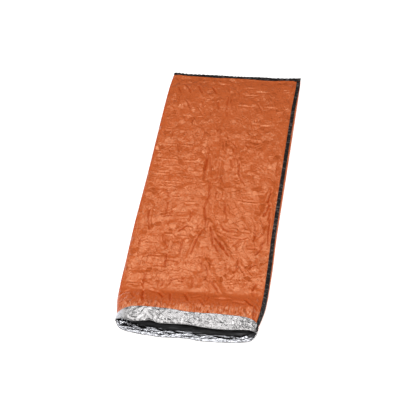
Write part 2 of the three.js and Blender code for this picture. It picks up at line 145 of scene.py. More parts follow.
# Soft folds of the solid: a rounded bump along each straight run.
FOLDS = table(
    "x1 at1 x2 at2 width height",
    (-24, 60, 8, 640, 34, 3),
    (8, 620, 26, 1270, 38, 5),
    (4, 1255, -56, 1535, 34, 5),
    (14, 1262, 186, 1515, 34, 6),
    (33, 1470, 74, 1745, 36, 6),
    (54, 1560, 192, 1795, 36, 6),
    (-100, 715, -44, 930, 36, -4),
    (26, 745, 78, 950, 36, -4),
    (384, 940, 346, 1190, 32, 6),
    (386, 1090, 410, 1420, 30, 4),
    (-384, 1150, -352, 1390, 34, 4),
    (-400, 1562, -210, 1550, 36, 4),
    (-400, 1676, -190, 1668, 36, 4),
    (-420, 275, 420, 262, 44, 1.4),
    (-420, 524, 300, 508, 44, 1.0),
    (-420, 776, 420, 758, 44, 1.2),
    (-420, 1012, 420, 1000, 44, 1.2),
    (-420, 1250, 420, 1240, 44, 1.2),
    (394, 1870, 408, 1985, 22, 6),
)

# Sharp creases of the upper layer: grooves with a low lip on both sides.
CREASES = bent_runs(
    # short slanted dashes near the foot
    (-422, 30, 8, 2.6, -400, 66), (-387, 134, 8, 3.3, -362, 182),
    (-348, 100, 7, 2.8, -307, 145, 8, 3.2, -293, 176), (-246, 115, 8, 3.5, -213, 178),
    (-146, 120, 8, 3.4, -113, 172), (-33, 124, 8, 2.4, -23, 148), (-302, 262, 8, 2.6, -267, 322),
    (-194, 260, 7, 2.2, -180, 302), (-87, 254, 8, 2.8, -72, 316), (-20, 205, 9, 2.6, -19, 322),
    (-12, 342, 8, 2.6, -7, 376), (-234, 430, 8, 2.2, -228, 456), (-214, 315, 6, 1.3, -172, 380),
    (-64, 450, 6, 1.8, -48, 512), (-362, 215, 8, 1.3, -360, 300), (-345, 395, 7, 1.2, -344, 432),
    (-292, 400, 7, 1.2, -290, 425), (195, 262, 7, 2, 216, 296, 6, 2, 230, 332),
    (60, 490, 6, 1.6, 88, 440), (330, 455, 6, 1.4, 345, 420), (34, 70, 7, 1.6, 44, 120),
    (98, 40, 6, 1.8, 140, 40), (412, 60, 7, 1.8, 400, 128), (340, 128, 7, 1.4, 385, 120),
    (4, 230, 8, 2.4, 2, 262), (46, 150, 6, 1.6, 54, 195), (150, 330, 6, 1.2, 156, 372),
    (12, 262, 6, 1.4, 22, 305),
    # middle of the far half
    (-79, 660, 8, 2.4, -78, 760, 12, 4, -78, 842, 8, 2.4, -72, 925), (-88, 650, 6, 1.8, -66, 682),
    (-62, 730, 7, 2.6, -42, 830, 7, 2.6, -28, 898), (-48, 506, 7, 2.2, -16, 594),
    (-28, 945, 8, 2.8, -22, 1006), (-293, 650, 8, 2.2, -279, 704), (-299, 905, 9, 2, -298, 950),
    (-193, 660, 8, 2, -190, 682), (-130, 530, 8, 1.4, -143, 590), (-348, 530, 8, 1.2, -347, 600),
    (-252, 555, 7, 1.4, -265, 598), (-184, 735, 8, 1.2, -188, 775), (82, 615, 7, 2.4, 100, 646),
    (84, 654, 9, 3, 88, 684), (101, 645, 7, 2.2, 103, 762), (83, 755, 8, 2.6, 97, 806),
    (122, 745, 7, 3, 138, 785, 7, 3, 142, 832, 8, 3.4, 150, 866, 7, 2.6, 180, 920, 6, 1.8,
     202, 950), (8, 780, 10, 2, 8, 932), (10, 610, 8, 2, 17, 672), (35, 564, 7, 1.8, 46, 598),
    (43, 890, 7, 2.2, 30, 942), (43, 894, 7, 2.2, 53, 930), (165, 620, 7, 1.8, 182, 652),
    (155, 680, 7, 1.8, 144, 702), (290, 630, 6, 1.8, 260, 686),
    (395, 740, 7, 1.4, 391, 800, 7, 2.4, 394, 850, 6, 1.8, 398, 882), (310, 882, 8, 1.4, 300, 918),
    (256, 800, 6, 1.6, 268, 782), (-130, 640, 7, 1, -128, 690), (220, 655, 7, 1.4, 236, 690),
    # the middle crease and its branches
    (-22, 1008, 8, 2.8, -15, 1046, 8, 3, -30, 1148, 9, 3.6, -10, 1222, 8, 2.8, 1, 1284),
    (-14, 1324, 8, 3, -35, 1396, 9, 3.6, -45, 1446, 9, 3.2, -53, 1500),
    (-46, 1290, 7, 2.6, -45, 1316),
    (35, 1300, 8, 3.4, 50, 1350, 8, 3.6, 67, 1410, 7, 2.6, 73, 1448),
    (56, 1340, 7, 3, 80, 1382, 9, 4, 112, 1416, 10, 4.2, 140, 1452, 9, 3.6, 182, 1502),
    (84, 1430, 9, 3.4, 106, 1466), (16, 1296, 7, 2.4, 26, 1262), (64, 1262, 7, 2.2, 68, 1306),
    (32, 1020, 9, 2.2, 30, 1072), (76, 1030, 7, 1.6, 66, 1076),
    (95, 1098, 7, 2.6, 102, 1130, 8, 3.2, 105, 1170, 8, 2.6, 123, 1198),
    (8, 1120, 9, 1.8, 10, 1180), (20, 1562, 7, 2.6, 30, 1598),
    (54, 1580, 8, 3, 70, 1626, 8, 2.6, 84, 1656), (82, 1540, 7, 2.2, 82, 1592),
    (104, 1694, 8, 3.4, 152, 1750), (124, 1718, 7, 2.4, 164, 1770), (84, 1768, 7, 2, 92, 1802),
    (62, 1694, 6, 2.2, 72, 1682, 6, 2.2, 84, 1694),
    # creases beside the tape
    (380, 972, 8, 2.6, 376, 1010, 9, 3.6, 367, 1074, 9, 3.6, 381, 1096, 9, 3.8, 374, 1136, 9, 3.4,
     356, 1182), (391, 1130, 9, 3.4, 386, 1212), (399, 1205, 7, 4.2, 400, 1300, 7, 4.2, 412, 1402),
    (340, 1208, 7, 2.2, 356, 1242, 7, 2.2, 372, 1284, 7, 2.2, 370, 1318, 7, 2.2, 352, 1342),
    (315, 1264, 7, 2.6, 322, 1346, 7, 2.2, 317, 1380),
    (375, 1370, 9, 3.2, 373, 1424, 8, 3, 350, 1470), (300, 1434, 8, 2.4, 340, 1430),
    (362, 1460, 7, 3, 345, 1476), (350, 1548, 7, 2.8, 330, 1564, 7, 2.8, 320, 1582),
    (359, 1500, 7, 1.6, 357, 1546), (421, 1632, 7, 2.2, 409, 1656),
    (375, 1688, 10, 3.4, 365, 1730, 9, 2.6, 375, 1772),
    (407, 1775, 9, 1.6, 414, 1812, 9, 1.6, 411, 1850), (411, 1880, 12, 3, 410, 1975),
    # right of the middle
    (100, 1274, 8, 2.8, 118, 1298, 9, 3.6, 150, 1316, 8, 3, 196, 1318),
    (155, 1354, 7, 2.4, 190, 1368, 7, 2.6, 250, 1367, 7, 2, 270, 1358),
    (240, 1370, 7, 2.4, 200, 1422), (236, 1414, 7, 2.2, 222, 1446), (240, 1260, 6, 2, 262, 1296),
    (200, 1076, 6, 1.4, 232, 1080, 6, 1.4, 272, 1078),
    (246, 1526, 8, 2.8, 252, 1574, 8, 2.4, 230, 1616), (270, 1580, 7, 2.2, 300, 1626),
    (311, 1690, 7, 2.4, 304, 1708), (176, 1555, 7, 1.8, 186, 1600, 7, 1.6, 190, 1650),
    (212, 1660, 7, 1.4, 236, 1640),
    # left half, with the corners of the packing grid
    (-103, 1190, 9, 2.6, -102, 1222, 9, 2.4, -112, 1262), (-117, 1300, 9, 3.4, -160, 1342),
    (-122, 1404, 8, 2.8, -125, 1432, 8, 3, -121, 1498), (-270, 1132, 7, 2.6, -268, 1212),
    (-281, 1052, 9, 2.4, -278, 1078), (-231, 1192, 8, 2.6, -243, 1230, 8, 3.2, -278, 1241),
    (-241, 1280, 8, 2.4, -238, 1306),
    (-377, 1204, 9, 3.4, -374, 1258, 7, 3, -353, 1330, 8, 3.2, -350, 1345),
    (-192, 1360, 7, 2, -174, 1382),
    (-256, 1374, 8, 2.4, -235, 1430, 8, 2.4, -210, 1462, 8, 2.6, -221, 1484),
    (-275, 1402, 9, 2.2, -269, 1428), (-393, 1428, 7, 2.2, -390, 1478),
    (-335, 1050, 7, 1.6, -364, 1090), (-186, 1446, 7, 1.6, -170, 1480),
    (-200, 1524, 8, 3.6, -198, 1612), (-198, 1611, 7, 2.4, -250, 1610),
    (-320, 1544, 8, 2, -246, 1542), (-348, 1555, 8, 2, -358, 1612),
    (-305, 1684, 8, 3.2, -308, 1750, 8, 2.6, -298, 1772), (-183, 1718, 8, 3, -190, 1752),
    (-110, 1690, 8, 3, -134, 1704, 8, 3, -146, 1732), (-115, 1570, 7, 2.2, -135, 1596),
    (-195, 1566, 8, 2.2, -126, 1567), (-70, 1556, 7, 2.2, -67, 1586),
    (-70, 1680, 8, 2.8, -68, 1710), (-90, 1707, 7, 2.2, -70, 1705), (-8, 1678, 8, 2.4, -5, 1742),
    (-278, 1734, 7, 1.8, -250, 1750), (-220, 1694, 6, 1.6, -210, 1752),
    (-390, 1741, 8, 1.6, -330, 1741),
    # the smooth rise behind the mouth
    (-289, 1808, 12, 4.6, -286, 1850, 12, 4.6, -270, 1882), (-196, 1808, 10, 4.4, -160, 1846),
    (-121, 1816, 9, 4.2, -107, 1866), (-32, 1808, 10, 4.4, -4, 1856),
    (-420, 1846, 14, 2, -375, 1814), (116, 1816, 9, 3, 110, 1846), (336, 1818, 10, 4, 384, 1864),
    (66, 1846, 9, 3, 92, 1884), (-228, 1700, 7, 1.2, -205, 1768), (-352, 1838, 10, 2.6, -330, 1866),
    (160, 1830, 12, 2, 240, 1822), (20, 1832, 10, 2.2, 60, 1812), (-250, 1796, 10, 2.4, -214, 1808),
    (270, 1842, 12, 2, 330, 1852), (400, 1868, 14, 3.6, 400, 1975),
    # gathers behind the cuff
    (130, 1942, 7, 2.4, 139, 1920), (-386, 1846, 14, 1, -384, 1940),
    (-338, 1890, 7, 1.6, -326, 1930), (-298, 1890, 7, 1.8, -282, 1934),
    (-250, 1866, 7, 1.8, -236, 1900), (-186, 1900, 6, 1.6, -178, 1940),
    (-150, 1906, 7, 1.8, -132, 1938), (-90, 1896, 6, 1.4, -86, 1938), (12, 1900, 6, 1.4, 20, 1946),
    (196, 1906, 7, 1.6, 190, 1944), (240, 1902, 7, 1.6, 246, 1920), (306, 1902, 7, 1.6, 300, 1930),
)

# Sharp ridges, in the same form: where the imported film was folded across, and edges of
# facets that stand up.
RIDGES = table(
    "x1 at1 x2 at2 width depth",
    (-384, 652, -305, 654, 7, 1.6), (-283, 652, -205, 652, 7, 1.6), (-385, 527, -350, 526, 7, 1.4),
    (-281, 527, -247, 528, 7, 1.4), (-386, 780, -284, 781, 7, 1.6), (-220, 781, -150, 779, 7, 1.6),
    (-332, 837, -250, 836, 6, 1.2), (-390, 900, -315, 901, 7, 1.5), (-250, 900, -214, 900, 6, 1.4),
    (-322, 962, -220, 961, 6, 1.4), (-322, 1007, -258, 1006, 7, 1.7),
    (-440, 716, -400, 718, 6, 1.4), (-152, 1120, -104, 1119, 7, 2.2),
    (-278, 1241, -160, 1238, 7, 2.2), (-300, 1012, -250, 1009, 7, 1.6),
    (-240, 1087, -208, 1086, 7, 1.6), (40, 300, 55, 372, 5, 1.2), (60, 385, 100, 396, 5, 1.2),
    (130, 400, 100, 446, 5, 1.2), (-390, 252, -352, 262, 6, 1.3), (-205, 248, -165, 252, 6, 1.3),
    (-148, 255, -112, 254, 6, 1.3), (-388, 390, -350, 388, 6, 1.3), (-292, 388, -258, 389, 6, 1.3),
    (-202, 392, -166, 391, 6, 1.3), (-86, 388, -50, 389, 6, 1.3), (180, 1086, 292, 1094, 6, 1.4),
    (190, 1276, 226, 1292, 7, 1.4), (240, 1302, 284, 1308, 7, 1.3), (92, 1338, 122, 1350, 8, 1.8),
    (128, 1326, 164, 1330, 7, 1.5), (-136, 1312, -86, 1316, 7, 1.8),
    (-152, 1340, -118, 1342, 7, 1.8), (-230, 1374, -192, 1376, 7, 1.6),
    (-146, 1380, -112, 1379, 7, 1.6), (-52, 1319, -20, 1321, 7, 1.8),
    (108, 1440, 128, 1462, 7, 1.8), (150, 1472, 186, 1468, 7, 1.6), (200, 1482, 234, 1478, 7, 1.6),
    (-320, 1605, -212, 1604, 6, 1.6), (-395, 1752, -310, 1752, 6, 1.8),
    (-350, 1450, -290, 1452, 7, 1.6), (-320, 1640, -270, 1644, 6, 1.4),
    (-160, 1640, -110, 1644, 6, 1.4), (160, 1540, 214, 1530, 6, 1.4),
    (280, 1680, 340, 1672, 6, 1.6), (200, 1716, 260, 1706, 6, 1.6), (-60, 1630, -20, 1640, 6, 1.4),
    (-30, 62, 36, 66, 6, 1.2), (170, 132, 250, 136, 9, 1.4), (90, 104, 150, 106, 7, 1.2),
    (100, 176, 164, 172, 7, 1.2), (74, 272, 150, 278, 9, 1.4), (244, 280, 300, 280, 7, 1.2),
    (180, 428, 224, 432, 7, 1.2), (244, 442, 300, 438, 7, 1.2), (-100, 70, -44, 78, 9, 1.2),
)

# Flat patches that lean towards the mouth (slope above 0) or towards the foot (below 0).
PATCHES = table(
    "x at half_width half_length slope",
    (-125, 885, 26, 16, 0.15), (-172, 945, 30, 14, 0.14), (-30, 805, 16, 12, 0.14),
    (-27, 865, 14, 12, 0.14), (230, 585, 26, 14, 0.17), (190, 620, 22, 12, 0.12),
    (112, 720, 16, 16, 0.14), (75, 740, 12, 14, 0.12), (115, 837, 12, 16, 0.15),
    (140, 880, 12, 14, 0.15), (165, 960, 22, 14, 0.14), (225, 855, 24, 14, 0.14),
    (290, 840, 20, 12, 0.14), (298, 952, 18, 12, 0.14), (380, 925, 14, 14, 0.12),
    (40, 970, 20, 14, 0.14), (-335, 85, 30, 14, 0.15), (-210, 70, 28, 12, 0.15),
    (-70, 75, 34, 14, 0.19), (210, 135, 44, 16, 0.19), (120, 105, 30, 10, 0.17),
    (130, 175, 30, 10, 0.17), (110, 275, 46, 12, 0.19), (270, 280, 34, 10, 0.15),
    (200, 430, 26, 12, 0.15), (270, 440, 26, 12, 0.15), (-170, 1215, 34, 18, -0.12),
    (-340, 1035, 34, 16, -0.12), (-265, 1280, 26, 18, -0.12), (-120, 1100, 24, 14, -0.12),
    (-130, 1280, 20, 12, -0.12), (382, 1712, 24, 26, -0.14), (-265, 1578, 52, 26, 0.09),
    (-352, 1716, 40, 32, 0.09), (105, 1345, 18, 10, 0.15), (145, 1325, 20, 8, 0.15),
    (207, 1285, 20, 10, 0.15), (260, 1305, 22, 10, 0.15), (-300, 1420, 40, 20, 0.08),
    (240, 1640, 40, 22, 0.08), (-60, 1600, 30, 20, 0.08), (60, 1700, 24, 14, -0.12),
    plain=("slope",),
)

# How strongly the film is crumpled along its length, and how much it is drawn into
# gathers that run to the mouth.
CRUMPLE = table(
    "at strength gathers",
    (0, 0.7, 0), (60, 0.9, 0), (250, 0.95, 0), (600, 0.95, 0), (900, 0.95, 0), (1150, 1.0, 0),
    (1400, 1.05, 0), (1650, 1.1, 0), (1745, 0.8, 0), (1790, 0.25, 0.05), (1870, 0.22, 0.3),
    (1905, 0.4, 1), (1990, 0.35, 1),
    plain=("strength", "gathers"),
)

# ---- Small helpers
RANDOM = np.random.default_rng(20)


def mix(a, b, part):
    return a + (b - a) * part


def ease(part):
    return part * part * (3 - 2 * part)


def fade(value, start, end):
    """0 at start, 1 at end, smooth between."""
    return ease(np.clip((value - start) / (end - start), 0, 1))


def read(rows, key, column, where):
    """Value of one column of a table, on a smooth curve through its rows."""
    knots, values = rows[key], rows[column]
    rise = np.diff(values) / np.diff(knots)
    slope = np.zeros_like(values)
    same_way = rise[:-1] * rise[1:] > 0
    total = np.where(same_way, rise[:-1] + rise[1:], 1.0)
    slope[1:-1] = np.where(same_way, 2 * rise[:-1] * rise[1:] / total, 0.0)
    where = np.clip(where, knots[0], knots[-1])
    index = np.clip(np.searchsorted(knots, where) - 1, 0, len(knots) - 2)
    span = knots[index + 1] - knots[index]
    part = (where - knots[index]) / span
    leave = slope[index] * span * part * (1 - part) ** 2
    arrive = slope[index + 1] * span * part ** 2 * (1 - part)
    return mix(values[index], values[index + 1], ease(part)) + leave - arrive


def section(column, at):
    """A size of the bag's cross-section at a distance from the foot."""
    return read(SECTIONS, "at", column, at)


def quarter(inwards, width):
    """Quarter ellipse: 0 at the edge, 1 from the given width inwards."""
    return np.sqrt(1 - (1 - np.clip(inwards / width, 0, 1)) ** 2)


def along_run(x, at, x1, at1, x2, at2):
    """Share of the run passed at each place, distance from its line, and its length."""
    run_x, run_at = x2 - x1, at2 - at1
    length = math.hypot(run_x, run_at)
    share = ((x - x1) * run_x + (at - at1) * run_at) / length ** 2
    away = ((x - x1) * run_at - (at - at1) * run_x) / length
    return share, away, length


def near_run(x, at, x1, at1, x2, at2, reach):
    """Indices of the places within reach of a run, so that long tables stay quick."""
    inside = (x > min(x1, x2) - reach) & (x < max(x1, x2) + reach)
    inside &= (at > min(at1, at2) - reach) & (at < max(at1, at2) + reach)
    return np.nonzero(inside)


def fold_height(x, at):
    """Height that the solid's own soft folds add."""
    total = np.zeros_like(x)
    for x1, at1, x2, at2, width, height in zip(*FOLDS.values()):
        spot = near_run(x, at, x1, at1, x2, at2, width)
        share, _, _ = along_run(x[spot], at[spot], x1, at1, x2, at2)
        share = np.clip(share, 0, 1)
        away = np.hypot(x[spot] - mix(x1, x2, share), at[spot] - mix(at1, at2, share))
        total[spot] += height * np.clip(1 - (away / width) ** 2, 0, 1) ** 2
    return total


CREASE_END = 10 * MM           # a crease dies out in this length at each end
CREASE_GAIN = 1.5              # real depth of a crease, against the depth in its row
CREASE_LIP = 0.45              # height of a crease's lips, as a share of its depth
DEEP_CREASE = 4 * MM           # a crease this deep gets the full painted shade of a groove


def crease_relief(x, at, rows):
    """Height that sharp creases add, and how deep in a groove each place lies, for its painted
    shade.
    """
    relief = np.zeros_like(x)
    groove = np.zeros_like(x)
    for x1, at1, x2, at2, width, depth in zip(*rows.values()):
        spot = near_run(x, at, x1, at1, x2, at2, 4 * width + CREASE_END)
        share, away, length = along_run(x[spot], at[spot], x1, at1, x2, at2)
        past = np.maximum(-share, share - 1) * length
        held = 1 - np.clip(past / CREASE_END, 0, 1) ** 2
        bell = np.exp(-(away / (0.62 * width)) ** 2) * held
        side = np.exp(-((np.abs(away) - 1.5 * width) / width) ** 2) * held
        relief[spot] += CREASE_GAIN * depth * (CREASE_LIP * side - bell)
        groove[spot] = np.maximum(groove[spot], bell * depth / DEEP_CREASE)
    return relief, groove


def patch_relief(x, at):
    """Height that the leaning patches add."""
    relief = np.zeros_like(x)
    for middle, row, half_width, half_length, slope in zip(*PATCHES.values()):
        reach = half_width + half_length
        spot = near_run(x, at, middle, row, middle, row, 1.6 * reach)
        across, along = (x[spot] - middle) / half_width, (at[spot] - row) / half_length
        inside = (1 - fade(np.abs(across), 0.8, 1.5)) * (1 - fade(np.abs(along), 0.9, 1.6))
        relief[spot] -= slope * half_length * along * inside
    return relief


class Facets:
    """A crumpled field of flat facets: random points joined by triangles, each point at
    its own height between -1 and 1."""

    def __init__(self, spacing, stretch_x=1.0, stretch_at=1.0):
        self.scale = np.array([1 / stretch_x, 1 / stretch_at])
        half_width, length = 0.52 * self.scale[0], 2.25 * self.scale[1]
        columns = math.ceil(2 * half_width / spacing) + 2
        rows = math.ceil(length / spacing) + 2
        grid = np.stack(np.meshgrid(np.arange(columns), np.arange(rows)), axis=-1).reshape(-1, 2)
        spots = (grid + RANDOM.uniform(-0.48, 0.48, grid.shape)) * spacing
        spots -= [half_width, 0.05 * self.scale[1]]
        heights = RANDOM.uniform(-1, 1, len(spots))
        corners, _, faces, origins, _, _ = delaunay_2d_cdt(
            [Vector(spot) for spot in spots], [], [], 0, 1e-7)
        points = [Vector((c.x, c.y, heights[origin[0]])) for c, origin in zip(corners, origins)]
        self.tree = BVHTree.FromPolygons(points, faces)

    def height(self, x, at):
        down = Vector((0, 0, -1))
        flat_x = (x * self.scale[0]).ravel()
        flat_at = (at * self.scale[1]).ravel()
        hits = [self.tree.ray_cast(Vector((u, v, 2)), down)[0] for u, v in zip(flat_x, flat_at)]
        return np.array([hit.z if hit else 0.0 for hit in hits]).reshape(x.shape)


# ---- The film's middle surface
# Columns from a side edge inwards, in shares of the bare strip outside the tape, shares of
# the tape and a distance beyond it.
EDGE_STEPS = table(
    "bare tape beyond",
    (0, 0, 0), (0.35, 0, 0), (1, 0, 0), (1, 0.5, 0), (1, 1, 0), (1, 1, 6), (1, 1, 12), (1, 1, 18),
    plain=("bare", "tape"),
)


def loop_columns(crown, belly_steps, belly):
    """Columns round the tube of film: the upper layer from left to right, then the lower
    layer from right to left. crown and belly are the numbers of even gaps between the
    innermost steps in from the edges."""
    steps = list(zip(EDGE_STEPS["bare"], EDGE_STEPS["tape"], EDGE_STEPS["beyond"]))
    even = [i / crown for i in range(1, crown)]
    upper = [(1, -1, *step, 0) for step in steps]
    upper += [(1, 0, *steps[-1], share) for share in even]
    upper += [(1, 1, *step, 0) for step in reversed(steps)]
    beyond = [(0, 0, step * MM) for step in belly_steps]
    lower = [(0, 1, *step, 0) for step in beyond]
    lower += [(0, 0, *beyond[-1], 1 - i / belly) for i in range(1, belly)]
    lower += [(0, -1, *step, 0) for step in reversed(beyond)]
    names = ("upper", "side", "bare", "tape", "beyond", "share")
    return dict(zip(names, np.array(upper + lower).T))


def across_bag(columns, at):
    left, right = section("left", at), section("right", at)
    bare = section("tape_out", at)
    width = section("tape_in", at) - bare
    inwards = columns["bare"] * bare + columns["tape"] * width + columns["beyond"]
    shared = mix(left + inwards, right - inwards, columns["share"])
    side = columns["side"]
    return np.select([side < 0, side > 0], [left + inwards, right - inwards], shared)


def cuff_lift(share):
    """Distance from the film to its cuff, from the rim (0) to the free edge (1)."""
    return mix(2 * RIM_RADIUS, CUFF_LIFT, share)


def belly_lift(at, rim, cuff):
    """Lift of the lower layer off the surface, over the foot binding and its own cuff."""
    at_foot = (TAPE_THICKNESS + GAP) * (1 - fade(at, SEAM_DEPTH, SEAM_DEPTH + FOOT_FALL_LENGTH))
    free_edge = rim - cuff
    before_cuff = CUFF_LIFT * (1 - ease(np.clip((free_edge - at) / FALL_LENGTH, 0, 1)))
    over_cuff = np.where(at > free_edge, cuff_lift((rim - at) / cuff), before_cuff)
    return np.maximum(at_foot, over_cuff)


def film_grid(columns, rows):
    """The middle surface. rows is a list of (kind, value): "body" at a distance from the
    foot seam, "fan" at a share of the way from MOUTH_START to the cuff's free edge, or
    "cuff" at a share of the way from there to the rim."""
    at_tip = np.full(len(columns["upper"]), RIM_TIP)
    left, right = section("left", at_tip), section("right", at_tip)
    across = 2 * (across_bag(columns, at_tip) - left) / (right - left) - 1
    upper = columns["upper"] > 0
    mouth = {column: read(MOUTH, "across", column, across) for column in MOUTH}
    rim = np.where(upper, mouth["upper"], mouth["lower"])
    free = np.where(upper, mouth["upper_edge"], mouth["lower_edge"])
    places = {
        "body": lambda value: np.full(len(rim), value),
        "fan": lambda value: mix(MOUTH_START, free, value),
        "cuff": lambda value: mix(free, rim, value),
    }
    at = np.array([places[kind](value) for kind, value in rows])
    x = across_bag(columns, at)
    left, right = section("left", at), section("right", at)
    inwards = np.minimum(x - left, right - x)
    edge = section("edge", at)
    wander = read(SEAM_LINE, "x", "out", x) * (1 - np.clip(at / SEAM_FADE, 0, 1))
    low = HALF + belly_lift(at, rim, rim - free)
    belly = mix(edge, low, quarter(inwards, section("belly", at)))
    shoulder = quarter(inwards, section("shoulder", at))
    open_part = fade(at, SEAM_DEPTH, SEAM_DEPTH + FOOT_FALL_LENGTH) * shoulder
    crest = section("crest", at * (1 + RAMP_SKEW / LENGTH * x / right))
    crown = mix(edge, crest, shoulder) + fold_height(x, at) * open_part
    points = np.stack([x, LENGTH - at + wander, np.where(upper, crown, belly)], axis=-1)
    around = np.roll(points, -1, axis=1) - np.roll(points, 1, axis=1)
    forwards = np.gradient(points, axis=0)
    outward = -np.cross(around, forwards)
    outward /= np.linalg.norm(outward, axis=-1, keepdims=True)
    return SimpleNamespace(
        points=points, outward=outward, x=x, at=at, upper=upper, inwards=inwards,
        open=np.where(upper, open_part, 0), rim=rim, cuff=rim - free,
        turn=np.where(upper, across + 1, 4 - (across + 1)))


def body_rows(pitch):
    """Rows of the middle surface from the foot seam to where the mouth starts."""
    count = math.ceil((MOUTH_START - SEAM_DEPTH) / pitch)
    return [("body", mix(SEAM_DEPTH, MOUTH_START, i / count)) for i in range(count + 1)]


def fan_rows(count):
    """Rows from there to the cuff's free edge."""
    return [("fan", i / count) for i in range(1, count + 1)]


def moved(grid, outwards, rows=slice(None)):
    """Points of a grid moved outwards. Nothing lies below the surface under the bag."""
    outwards = np.asarray(outwards, dtype=float)
    if outwards.ndim:
        outwards = outwards[..., None]
    points = grid.points[rows] + grid.outward[rows] * outwards
    points[..., 2] = np.maximum(points[..., 2], 0)
    return points


def rim_turn(grid, radius, steps):
    """Rings round the turn at the mouth, between the film (-1) and its cuff (1)."""
    tip, before = grid.points[-1], grid.points[-2]
    forward = (tip - before) / np.linalg.norm(tip - before, axis=-1, keepdims=True)
    rings = []
    for i in range(1, steps):
        angle = math.pi * (i / steps - 0.5)
        reach = RIM_RADIUS + radius * math.sin(angle)
        points = tip + grid.outward[-1] * reach + forward * radius * math.cos(angle)
        points[..., 2] = np.maximum(points[..., 2], 0)
        rings.append(points)
    return rings


def frame_shift():
    """The solids' own shift, which centres their common box on the origin."""
    shell_low, shell_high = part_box("shell")
    widest = SECTIONS["left"].min() - HALF
    right_corner = read(SEAM_LINE, "x", "out", np.array([SECTIONS["right"][0]]))[0]
    return Vector((shell_low[0] - widest, shell_high[1] - LENGTH - right_corner, shell_low[2]))


SHIFT = frame_shift()

# ---- Mesh makers
def make_object(name, points, faces, materials, slots=None):
    mesh = bpy.data.meshes.new(name)
    mesh.from_pydata(np.asarray(points), [], faces)
    for material in materials:
        mesh.materials.append(material)
    if slots is not None:
        mesh.polygons.foreach_set("material_index", slots)
    mesh.shade_smooth()
    piece = bpy.data.objects.new(name, mesh)
    bpy.context.scene.collection.objects.link(piece)
    return piece


def add_attribute(piece, name, values):
    layer = piece.data.attributes.new(name, "FLOAT", "POINT")
    layer.data.foreach_set("value", np.asarray(values, dtype=np.float32))


def ladder(old, new):
    """Faces between two chains of points: four-sided where both have as many points, and
    otherwise triangles in the order of their places."""
    (old_points, old_places), (new_points, new_places) = old, new
    old_steps, new_steps = len(old_points) - 1, len(new_points) - 1
    if old_steps == new_steps:
        return [(old_points[k], old_points[k + 1], new_points[k + 1], new_points[k])
                for k in range(old_steps)]
    faces = []
    i = j = 0
    while i < old_steps or j < new_steps:
        old_next = old_places[i + 1] if i < old_steps else math.inf
        new_next = new_places[j + 1] if j < new_steps else math.inf
        if old_next <= new_next:
            faces.append((old_points[i], old_points[i + 1], new_points[j]))
            i += 1
        else:
            faces.append((old_points[i], new_points[j + 1], new_points[j]))
            j += 1
    return faces


ORANGE_SIDE, SILVER_SIDE = 0, 1    # the film's material slots
PLAIN = {"crease": 0.0, "shade": 0.0, "crumple": 1.0, "gathers": 0.0, "lip": 0.0, "edge": 0.0}


class Skin:
    """Collects closed rings of points and joins each to the one before. Rings of unlike
    length are joined by a ladder that follows their turn values. Each ring carries the
    attributes that the materials read, plain where not given."""

    def __init__(self):
        self.points, self.faces, self.slots = [], [], []
        self.values = {}
        self.last = None

    def join(self, faces, slot):
        self.faces.extend(faces)
        self.slots.extend([slot] * len(faces))

    def ring(self, points, turn, slot, **values):
        """Adds a ring, and gives back its chain: its points' numbers and turn values."""
        start, count = len(self.points), len(points)
        self.points.extend(map(tuple, points))
        for name, value in {**PLAIN, **values}.items():
            self.values.setdefault(name, []).extend(np.broadcast_to(value, count))
        now = ([*range(start, start + count), start], [*turn, 4.0])
        if self.last is not None:
            self.join(ladder(self.last, now), slot)
        self.last = now
        return now

    def cap(self, ring, right_edge, slot, flipped):
        """Closes an end ring by a ladder between its upper and its lower layer."""
        points, places = ring
        upper = (points[:right_edge + 1], places[:right_edge + 1])
        lower = (points[:right_edge - 1:-1], [4 - place for place in places[:right_edge - 1:-1]])
        faces = [face for face in ladder(upper, lower) if len(set(face)) == 3]
        self.join([face[::-1] for face in faces] if flipped else faces, slot)


# ---- The film
CROWN, BELLY = 162, 22         # even gaps across the upper and the lower layer, outside
BELLY_STEPS = [2, 7, 20, 45, 80]
THROAT_STEPS = [2, 7, 13, 19, 25, 31, 37, 43, 49, 56, 63, 71, 80]
THROAT_BELLY = 44              # the crinkled mouth needs finer gaps below
INNER_CROWN, INNER_BELLY = 34, 22
OUTER_PITCH = 5.1 * MM         # between the rings of the outside
INNER_PITCH = 30 * MM          # between the rings of the hidden inside
INNER_FAN = 10                 # its rings from there to the cuff's free edge
THROAT_ROWS = 16               # fine rings inside the mouth
CUFF_SHARES = [0, 0.015] + [i / 14 for i in range(1, 15)]    # from its free edge to the rim
LINING_DROP = 12 * MM          # the hidden lining lies this much below the crumpled outside
RELIEF_ROOM = 0.75             # share of that depth which a crease may use
TAPE_MARGIN = 9 * MM           # the film lies flat this far on each side of the tape
EDGE_FADE = 22 * MM            # the crumple dies out this near the bag's edges
BINDING_CALM = 30 * MM, 48 * MM     # it starts between these distances from the foot seam
CALM_BEFORE_CUFF = 4 * MM      # it ends between this far before the cuff's free edge
CALM_UNDER_CUFF = 8 * MM       # and this far under the cuff
LINING_RISE = 45 * MM          # the lining comes up to the film in this length at the mouth
FAN_LENGTH = 250 * MM          # from MOUTH_START to the cuff's free edge, about
THROAT_START = 0.62            # of the fan of rows, where the fine rings begin

LARGE, MIDDLE, SMALL = Facets(0.105, 1.0, 1.1), Facets(0.044, 1.0, 1.3), Facets(0.018, 1.0, 1.3)
LARGE_HEIGHT, MIDDLE_HEIGHT, SMALL_HEIGHT = 3.0 * MM, 2.4 * MM, 1.3 * MM
GATHERS = Facets(0.015, 1.0, 2.2)
GATHER_HEIGHT = 4.0 * MM
BETWEEN_GATHERS = 0.4          # of a groove's full painted shade, between two gathers
RISE_SHADE = 0.32          # the stretched rise behind the mouth, turned from the light, gets this much painted shade
RISE_UNEVEN = 14 * MM          # and its ends wander by this much


